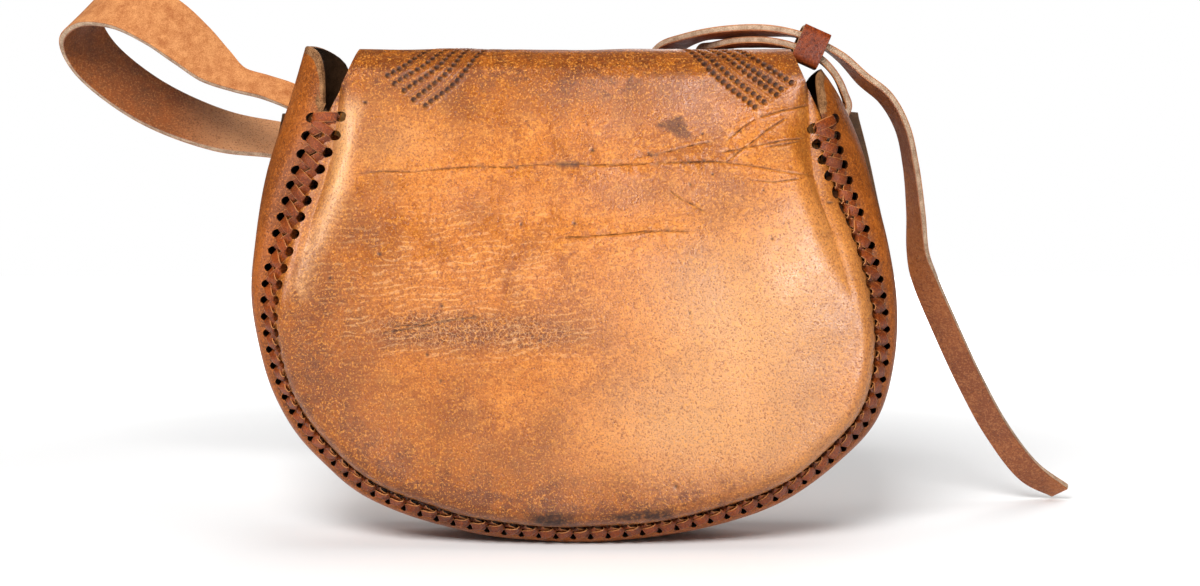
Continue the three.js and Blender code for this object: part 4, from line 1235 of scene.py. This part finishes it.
# How much the stretches over the seam differ in height, twist, width and tone.
LIFT_SPREAD, TWIST_SPREAD, WIDTH_SPREAD, TONE_SPREAD = (-0.15, 0.25), (-0.16, 0.16), (0.93, 1.07), (0, 0.35)
# Painted shade on a thong: how dark it is in its holes, and how much darker it grows towards them.
HOLE_SHADE, NEAR_HOLE_SHADE = 0.8, 0.5

thong_tree, thong_in = new_tree("thong", ("Thickness", "Width"))
line = node(thong_tree, "GeometryNodeMeshToCurve", Mesh=thong_in["Path"])
line = node(thong_tree, "GeometryNodeSetCurveNormal", settings=(("mode", "FREE"),), Curve=line,
            Normal=stored(thong_tree, "lie", "FLOAT_VECTOR"))
section = node(thong_tree, "GeometryNodeCurvePrimitiveCircle", Resolution=THONG_SIDES, Radius=1.0)
round_x, round_y = (node(thong_tree, "ShaderNodeSeparateXYZ", output=axis,
                         i0=node(thong_tree, "GeometryNodeInputPosition")) for axis in (0, 1))


def squared(value, power, size):
    """A circle's coordinate pushed out towards the corners of a flat section, half a size from the middle."""
    flat = sums(thong_tree, "POWER", sums(thong_tree, "ABSOLUTE", value), power)
    return times(thong_tree, times(thong_tree, flat, sums(thong_tree, "SIGN", value)),
                 times(thong_tree, size, 0.5))


section = node(thong_tree, "GeometryNodeStoreNamedAttribute", Geometry=section, Name="rim",
               Value=sums(thong_tree, "ABSOLUTE", round_y))
corner = node(thong_tree, "ShaderNodeCombineXYZ", i0=squared(round_x, THICK_POWER, thong_in["Thickness"]),
              i1=squared(round_y, WIDE_POWER, thong_in["Width"]))
section = node(thong_tree, "GeometryNodeSetPosition", Geometry=section, Position=corner)
solid = node(thong_tree, "GeometryNodeCurveToMesh", Curve=line, Profile_Curve=section,
             Scale=stored(thong_tree, "fat"), Fill_Caps=True)
end_tree(thong_tree, solid, thong_in["Finish"])


def thong_path(seam, first_end, crown, rng):
    """The route of one thong: its points, the direction across it, and its fatness and darkness."""
    points, across, fatness, tones = [], [], [], []
    sign = 1 if first_end == 0 else -1

    def through_hole(k, end, shift, depths):
        to_seam = unit(seam.spots[1 - end][k] - seam.spots[end][k])
        spot = seam.spots[end][k] + seam.along[k] * shift + to_seam * TOWARDS_SEAM
        side_way = unit(np.cross(seam.spots[1][k] - seam.spots[0][k], seam.outs[end][k])) * sign
        for depth in depths:
            points.append(spot - seam.outs[end][k] * depth)
            across.append(side_way)
            fatness.append(THONG_AT_HOLE)
            tones.append(HOLE_SHADE)

    def across_seam(ends, shares, lift):
        bow = np.sin(np.pi * OVER_SHARES)
        path, out = seam.over(*ends, shares, OVER_LIFT + (lift + rng.uniform(*LIFT_SPREAD)) * bow ** 0.8)
        points.extend(path)
        across.extend(unit(np.cross(np.gradient(path, axis=0), out) + out * rng.uniform(*TWIST_SPREAD)))
        fatness.extend(THONG_AT_HOLE + (rng.uniform(*WIDTH_SPREAD) - THONG_AT_HOLE) * bow ** 0.5)
        # Random tone, and painted shade towards the holes.
        tones.extend(rng.uniform(*TONE_SPREAD) + NEAR_HOLE_SHADE * (1 - bow))

    if first_end == 0:
        through_hole(0, 1, HOLE_SHIFT, (DEEP, SHALLOW))
        across_seam((0, 0), 1 - OVER_SHARES, crown + END_CROWN)
        through_hole(0, 0, 0, (SHALLOW, DEEP))
    for k in range(HOLES - 1):
        through_hole(k, first_end, HOLE_SHIFT, (DEEP, SHALLOW))
        ends = (k, k + 1) if first_end == 0 else (k + 1, k)
        across_seam(ends, OVER_SHARES if first_end == 0 else 1 - OVER_SHARES, crown)
        through_hole(k + 1, 1 - first_end, -HOLE_SHIFT, (SHALLOW, DEEP))
    last = HOLES - 1
    shares, lift = (1 - OVER_SHARES, crown + END_CROWN) if first_end == 0 else (OVER_SHARES, crown)
    across_seam((last, last), shares, lift)
    through_hole(last, first_end, 0, (SHALLOW, DEEP))
    return np.array(points), np.array(across), np.column_stack([fatness, tones])


def laced(name, seam, seed):
    """Both thongs of a seam, as one mesh."""
    rng = np.random.default_rng(seed)
    points, ways, fats, edges = [], [], [], []
    for first_end, crown in ((0, TOP_CROWN), (1, UNDER_CROWN)):
        path, across, fat_here = thong_path(seam, first_end, crown, rng)
        t = np.linspace(0, 1, (len(path) - 1) * THONG_CURVE_STEPS + 1)
        path, across, fat_here = catmull(path, t, True), catmull(across, t), catmull(fat_here, t)
        start = sum(len(p) for p in points)
        edges += [(start + i, start + i + 1) for i in range(len(path) - 1)]
        points.append(path)
        ways.append(unit(np.cross(across, unit(np.gradient(path, axis=0)))))
        fats.append(fat_here)
    made = linked(name, np.concatenate(points), edges)
    mark(made, "lie", np.concatenate(ways))
    fats = np.concatenate(fats)
    mark(made, "fat", fats[:, 0])
    mark(made, "dark", fats[:, 1])
    grown(thong_tree, made, lace_leather, Thickness=THONG_THICK * MM, Width=THONG_WIDE * MM)
    soften(made, THONG_SHARP_DEGREES)
    return made


lace_leather = leather("lace leather", ("62280c", "924012", "ac561e", "cc8c54", "2e1004"),
                       ("3a2413", "5a3a20"), ("c0a27c", "8d6a44"), shine=0.4, gleam=0.25, pebble=0.7)
for name, seam, node_name, seed in (("back_thongs", back_seam, "back_lacing", 11),
                                    ("front_thongs", front_seam, "front_lacing", 12)):
    finished(laced(name, seam, seed), lace_leather, [node_name])

# ---- Straps ----
# Two straps of 3 mm leather are cut from the same hide. Each is narrow where it passes a slit in an ear,
# and the shoulder strap widens to 28 mm in its loop. Their flesh side shows on the narrow strands.

STRAP_LEATHER = 3.0
SLIT_CLEARANCE = 0.6
STRAP_COLUMNS, STRAP_STEPS = 10, 14
LOOP_SHADE = 0.45
# The rows of a strap's route, counted from its end, between which it lies in its slit.
SLIT_ROWS, SLIT_STEPS = (1, 4), 16
SHOULDER_STRAP = (
    # x, y, z of the middle, width, and the direction across
    (-117.0, 9.5, 178.0, 12, -0.6, -0.8, 0),
    (-118.5, 10.0, 189.0, 12, -0.55, -0.78, -0.2),
    (-123.5, 10.5, 197.5, 12, -0.42, -0.52, -0.7),
    (-131.0, 11.0, 201.8, 12, -0.2, -0.5, -0.85),
    (-143.0, 12.5, 206.0, 12, -0.05, -0.6, -0.78),
    (-155.5, 13.5, 209.5, 13, -0.05, -0.56, -0.82),
    (-167.0, 16.0, 216.2, 21, -0.2, -0.58, -0.78),
    (-178.0, 18.0, 225.6, 25, -0.42, -0.55, -0.72),
    (-191.0, 19.5, 235.8, 27, -0.53, -0.49, -0.7),
    (-207.0, 22.5, 243.6, 28, -0.53, -0.5, -0.69),
    (-223.0, 30.5, 244.2, 28, -0.54, -0.5, -0.67),
    (-233.6, 41.0, 237.4, 27.5, -0.53, -0.54, -0.66),
    (-234.8, 50.0, 228.6, 26.5, -0.51, -0.57, -0.65),
    (-228.5, 56.0, 217.5, 26, -0.48, -0.58, -0.65),
    (-205.0, 60.5, 199.0, 25.5, -0.34, -0.61, -0.72),
    (-172.0, 62.0, 185.2, 26, -0.08, -0.74, -0.67),
    (-144.5, 60.0, 180.8, 26, 0.06, -0.82, -0.57),
    (-116.0, 57.2, 176.5, 26, 0.04, -0.76, -0.65),
    (-82.0, 52.5, 172.0, 26, 0, -0.52, -0.85),
    (-44.0, 48.6, 171.0, 24, 0, -0.15, -1),
    (-10.0, 47.3, 177.5, 18, 0.15, 0, -1),
    (18.0, 46.0, 192.0, 13, 0.4, 0.1, -0.9),
    (34.0, 44.4, 208.5, 12, 0.7, 0.25, -0.65),
    (42.0, 37.8, 222.6, 12, 0.78, 0.55, -0.3),
    (54.0, 22.0, 228.8, 12, 0.75, 0.66, -0.05),
    (71.5, 7.0, 230.9, 12, 0.5, 0.86, -0.25),
    (88.0, 1.5, 231.4, 11.6, 0.15, 1, -0.2),
    (101.8, 0, 229.5, 11.2, 0, 1, 0),
    (113.2, 0.2, 224.5, 11.2, 0, 1, 0),
    (121.5, 1.4, 219.0, 11.6, -0.04, 1, -0.12),
    (131.0, 3.0, 209.8, 12, -0.1, 0.97, -0.25),
    (142.0, 6.5, 200.8, 12, -0.12, 0.96, -0.28),
    (150.4, 12.0, 187.5, 12, -0.14, 0.96, -0.22),
    (155.6, 19.5, 170.0, 12, -0.2, 0.93, -0.16),
    (159.6, 29.0, 147.0, 12, -0.35, 0.88, -0.1),
    (161.8, 36.5, 128.5, 12, -0.55, 0.8, -0.08),
    (165.4, 41.5, 116.5, 12.5, -0.74, 0.58, -0.15),
    (177.0, 52.0, 92.0, 12.5, -0.8, 0.48, -0.3),
    (192.5, 64.0, 62.0, 12.5, -0.8, 0.46, -0.34),
    (207.5, 74.0, 37.0, 12.5, -0.78, 0.45, -0.4),
    (225.5, 83.5, 15.0, 12.5, -0.72, 0.4, -0.5),
    (242.0, 90.0, 4.6, 11, -0.5, 0.6, -0.4),
)
SHORT_STRAP = (
    # x, y, z of the middle, width, and the direction across
    (114.0, 8.5, 168.0, 12, 0, 1, 0),
    (116.0, 8.4, 179.0, 12, 0, 1, 0),
    (120.2, 8.2, 187.5, 12, 0, 1, 0),
    (124.6, 8.0, 196.8, 12, 0, 1, 0),
    (122.4, 6.0, 204.2, 12, 0, 1, 0.1),
    (118.6, 3.4, 211.2, 11.6, 0, 1, 0.1),
    (110.8, 0.2, 218.9, 11, 0, 1, 0),
    (99.4, 0, 224.2, 11, 0, 1, 0),
    (88.0, 1.5, 226.1, 11.6, 0.1, 1, -0.15),
    (77.0, 7.0, 226.2, 12, 0.55, 0.83, -0.15),
    (68.0, 18.0, 225.2, 12, 0.82, 0.57, 0),
    (63.0, 31.0, 224.1, 12, 0.95, 0.3, 0),
    (61.0, 42.4, 217.0, 12, 1, 0.1, 0),
    (60.2, 44.2, 203.0, 12, 1, 0, 0),
    (59.5, 46.2, 175.0, 12, 1, 0, 0),
)


def ribbon(route, t, columns, grow=0.0):
    """The two faces of a strap as grids: the grain side and the flesh side."""
    table = np.array(route, float)
    along = heading(table[:, :3], t)
    across = catmull(table[:, 4:], t)
    across = unit(across - along * np.sum(across * along, axis=1)[:, None])
    half = catmull(table[:, 3:4], t) / 2 + grow
    spread = np.linspace(-1, 1, columns + 1)[None, :, None]
    base = catmull(table[:, :3], t, True)[:, None] + across[:, None] * half[:, None] * spread
    rise = np.cross(along, across)[:, None] * (STRAP_LEATHER / 2 + grow)
    return base - rise, base + rise


def strap(name, route):
    """A strap, with painted shade over the far end of its loop, and worn pale where it comes back to the bag.
    """
    t = np.linspace(0, 1, (len(route) - 1) * STRAP_STEPS + 1)
    made = mesh_object(name, *closed_skin(*ribbon(route, t, STRAP_COLUMNS)))
    x, y, _ = places(made).T
    # Painted shade over the far end of the loop.
    mark(made, "dark", LOOP_SHADE * ramp(x, -165, -190))
    mark(made, "pale", ramp(x, -195, -165) * ramp(x, -100, -110) * (y > 45))
    return made


def slit_punch(route):
    """A strap's own shape, a little thicker all round, where it passes through an ear."""
    first, last = (row / (len(route) - 1) for row in SLIT_ROWS)
    sides = ribbon(route, np.linspace(first, last, SLIT_STEPS), 1, SLIT_CLEARANCE)
    return mesh_object("slit punch", *closed_skin(*sides, edge_steps=0))


cut_away(side_strip, slit_punch(SHOULDER_STRAP))
cut_away(side_strip, slit_punch(SHORT_STRAP))
strap_leather = leather("strap leather", ("7a3c18", "9c5726", "b0703f", "c99468", "45200e"),
                        ("98562a", "c98a54"), ("8a6c54", "ccae92"), shine=0.5, mottle=0.7)
for name, route, node_name in (("long_strap", SHOULDER_STRAP, "shoulder_strap"),
                               ("flap_strap", SHORT_STRAP, "short_strap")):
    finished(strap(name, route), strap_leather, [node_name])

# ---- Keeper ----
# A short band of 1.6 mm red-brown leather holds both strands together beside the right ear. It is
# wound round them a turn and a bit, and glued where its end overlaps.

KEEPER_PLACE = (106.3, 0.0, 224.3)
KEEPER_TILT = 24.0
KEEPER_LENGTH = 12.5
KEEPER_HALF_HIGH, KEEPER_HALF_DEEP = 6.05, 6.55
KEEPER_LEATHER = 1.6
KEEPER_SQUARENESS = 5.0
KEEPER_TURNS = 1.22
# Where the winding starts, where its lap begins to lift, and the gap that the lap needs.
KEEPER_START, KEEPER_LAP, KEEPER_LAP_GAP = 2.2, 1.2 * math.pi, 0.25
KEEPER_CLEARANCE = 0.1
KEEPER_STEPS = 120
KEEPER_COLUMNS = 14


def keeper_band():
    """The outer and the inner face of the wound band."""
    turn = np.linspace(0, KEEPER_TURNS * 2 * math.pi, KEEPER_STEPS + 1)[:, None]
    along = np.linspace(-KEEPER_LENGTH / 2, KEEPER_LENGTH / 2, KEEPER_COLUMNS + 1)
    lapped = eased(ramp(turn, KEEPER_LAP, 2 * math.pi)) * (KEEPER_LEATHER + KEEPER_LAP_GAP)
    tilt = math.radians(KEEPER_TILT)
    sides = []
    for offset in (KEEPER_LEATHER, KEEPER_CLEARANCE):
        high, deep = (
            (half + offset + lapped) * np.sign(way) * np.abs(way) ** (2 / KEEPER_SQUARENESS)
            for half, way in ((KEEPER_HALF_HIGH, np.cos(turn - KEEPER_START)),
                              (KEEPER_HALF_DEEP, np.sin(turn - KEEPER_START))))
        x = along * math.cos(tilt) + high * math.sin(tilt)
        z = -along * math.sin(tilt) + high * math.cos(tilt)
        sides.append(np.stack(np.broadcast_arrays(x, deep, z), -1) + KEEPER_PLACE)
    return sides


keeper = mesh_object("strap_keeper_band", *closed_skin(*keeper_band()))
keeper_leather = leather("keeper leather", ("521c08", "7a300e", "964418", "ac5a2a", "2c0e08"),
                         ("5a3018", "7a4828"), ("b09070", "8d6a44"), shine=0.42, gleam=0.25)
finished(keeper, keeper_leather, ["strap_keeper"])

# ---- Floor, light and camera ----
# The bag stands on a plain white floor that runs on out of sight, in a dim white room. Soft boxes in
# front, above and behind light it, and three more boxes show only as sheen on the leather.

FLOOR_HALF = 1500
FLOOR_BOUNCE = 0.25
# How far from the bag, in metres, the floor begins to glow and reaches full white.
GLOW_FROM, GLOW_FULL = 0.34, 1.0
ROOM_LIGHT, ROOM_SHINE = 0.14, 0.05
BAG_MIDDLE = (0, 0, 0.12)
WHITE, OFF_WHITE, FLOOR_ROUGHNESS = (1, 1, 1, 1), (0.9, 0.9, 0.9, 1), 0.9

corners = np.array([(-1, -1, 0), (1, -1, 0), (1, 1, 0), (-1, 1, 0)]) * FLOOR_HALF
floor = linked("floor", corners, faces=[(0, 1, 2, 3)])
floor_paint = bpy.data.materials.new("floor paint")
floor_paint.use_nodes = True
paint_tree = floor_paint.node_tree
paint = paint_tree.nodes["Principled BSDF"]
paint.inputs["Base Color"].default_value = OFF_WHITE
paint.inputs["Roughness"].default_value = FLOOR_ROUGHNESS
paint.inputs["Emission Color"].default_value = WHITE
from_bag = node(paint_tree, "ShaderNodeVectorMath", output=1, settings=(("operation", "LENGTH"),),
                i0=node(paint_tree, "ShaderNodeTexCoord", output=3))
seen = node(paint_tree, "ShaderNodeLightPath")
glow = times(paint_tree, span(paint_tree, from_bag, GLOW_FROM, GLOW_FULL),
             sums(paint_tree, "MULTIPLY_ADD", seen, 1 - FLOOR_BOUNCE, FLOOR_BOUNCE))
paint_tree.links.new(glow, paint.inputs["Emission Strength"])
floor.data.materials.append(floor_paint)

world = bpy.data.worlds.new("studio")
world.use_nodes = True
room = world.node_tree.nodes["Background"]
room.inputs["Color"].default_value = WHITE
seen = node(world.node_tree, "ShaderNodeLightPath")
shine_ray = node(world.node_tree, "ShaderNodeLightPath", output=3)
room_strength = sums(world.node_tree, "MULTIPLY_ADD", seen, 1 - ROOM_LIGHT, ROOM_LIGHT)
room_strength = sums(world.node_tree, "MULTIPLY_ADD", shine_ray, ROOM_SHINE - ROOM_LIGHT, room_strength)
world.node_tree.links.new(room_strength, room.inputs["Strength"])
bpy.context.scene.world = world


def soft_box(name, place, aim, size, power, diffuse=True, glossy=True):
    lamp = bpy.data.lights.new(name, "AREA")
    lamp.shape = "RECTANGLE"
    lamp.size, lamp.size_y = size
    lamp.energy = power
    made = bpy.data.objects.new(name, lamp)
    made.location = place
    way = mathutils.Vector(aim) - mathutils.Vector(place)
    made.rotation_euler = way.to_track_quat("-Z", "Y").to_euler()
    made.visible_camera = False
    made.visible_diffuse, made.visible_glossy = diffuse, glossy
    bpy.context.scene.collection.objects.link(made)


soft_box("front box", (-0.35, -1.55, 1.3), BAG_MIDDLE, (0.8, 0.8), 49, glossy=False)
soft_box("upper left sheen", (-0.85, -1.55, 0.6), BAG_MIDDLE, (0.5, 0.5), 3.5, diffuse=False)
soft_box("low right sheen", (0.68, -1.75, 0.06), BAG_MIDDLE, (0.8, 0.6), 31, diffuse=False)
soft_box("left sheen", (-1.32, -0.85, 0.7), BAG_MIDDLE, (0.5, 0.8), 12, diffuse=False)
soft_box("top box", (0.15, 0.1, 1.7), (0, 0, 0), (1.3, 1.0), 10, glossy=False)
soft_box("back box", (0.6, 1.6, 1.0), BAG_MIDDLE, (1.2, 1.2), 12)

camera = bpy.data.cameras.new("camera")
camera.lens = 68.19
camera.sensor_width = 36
view = bpy.data.objects.new("camera", camera)
view.location = (0.0112, -1.038, 0.2018)
view.rotation_euler = (math.radians(85.05), 0, 0)
bpy.context.scene.collection.objects.link(view)
bpy.context.scene.camera = view
bpy.context.scene.view_settings.view_transform = "Standard"
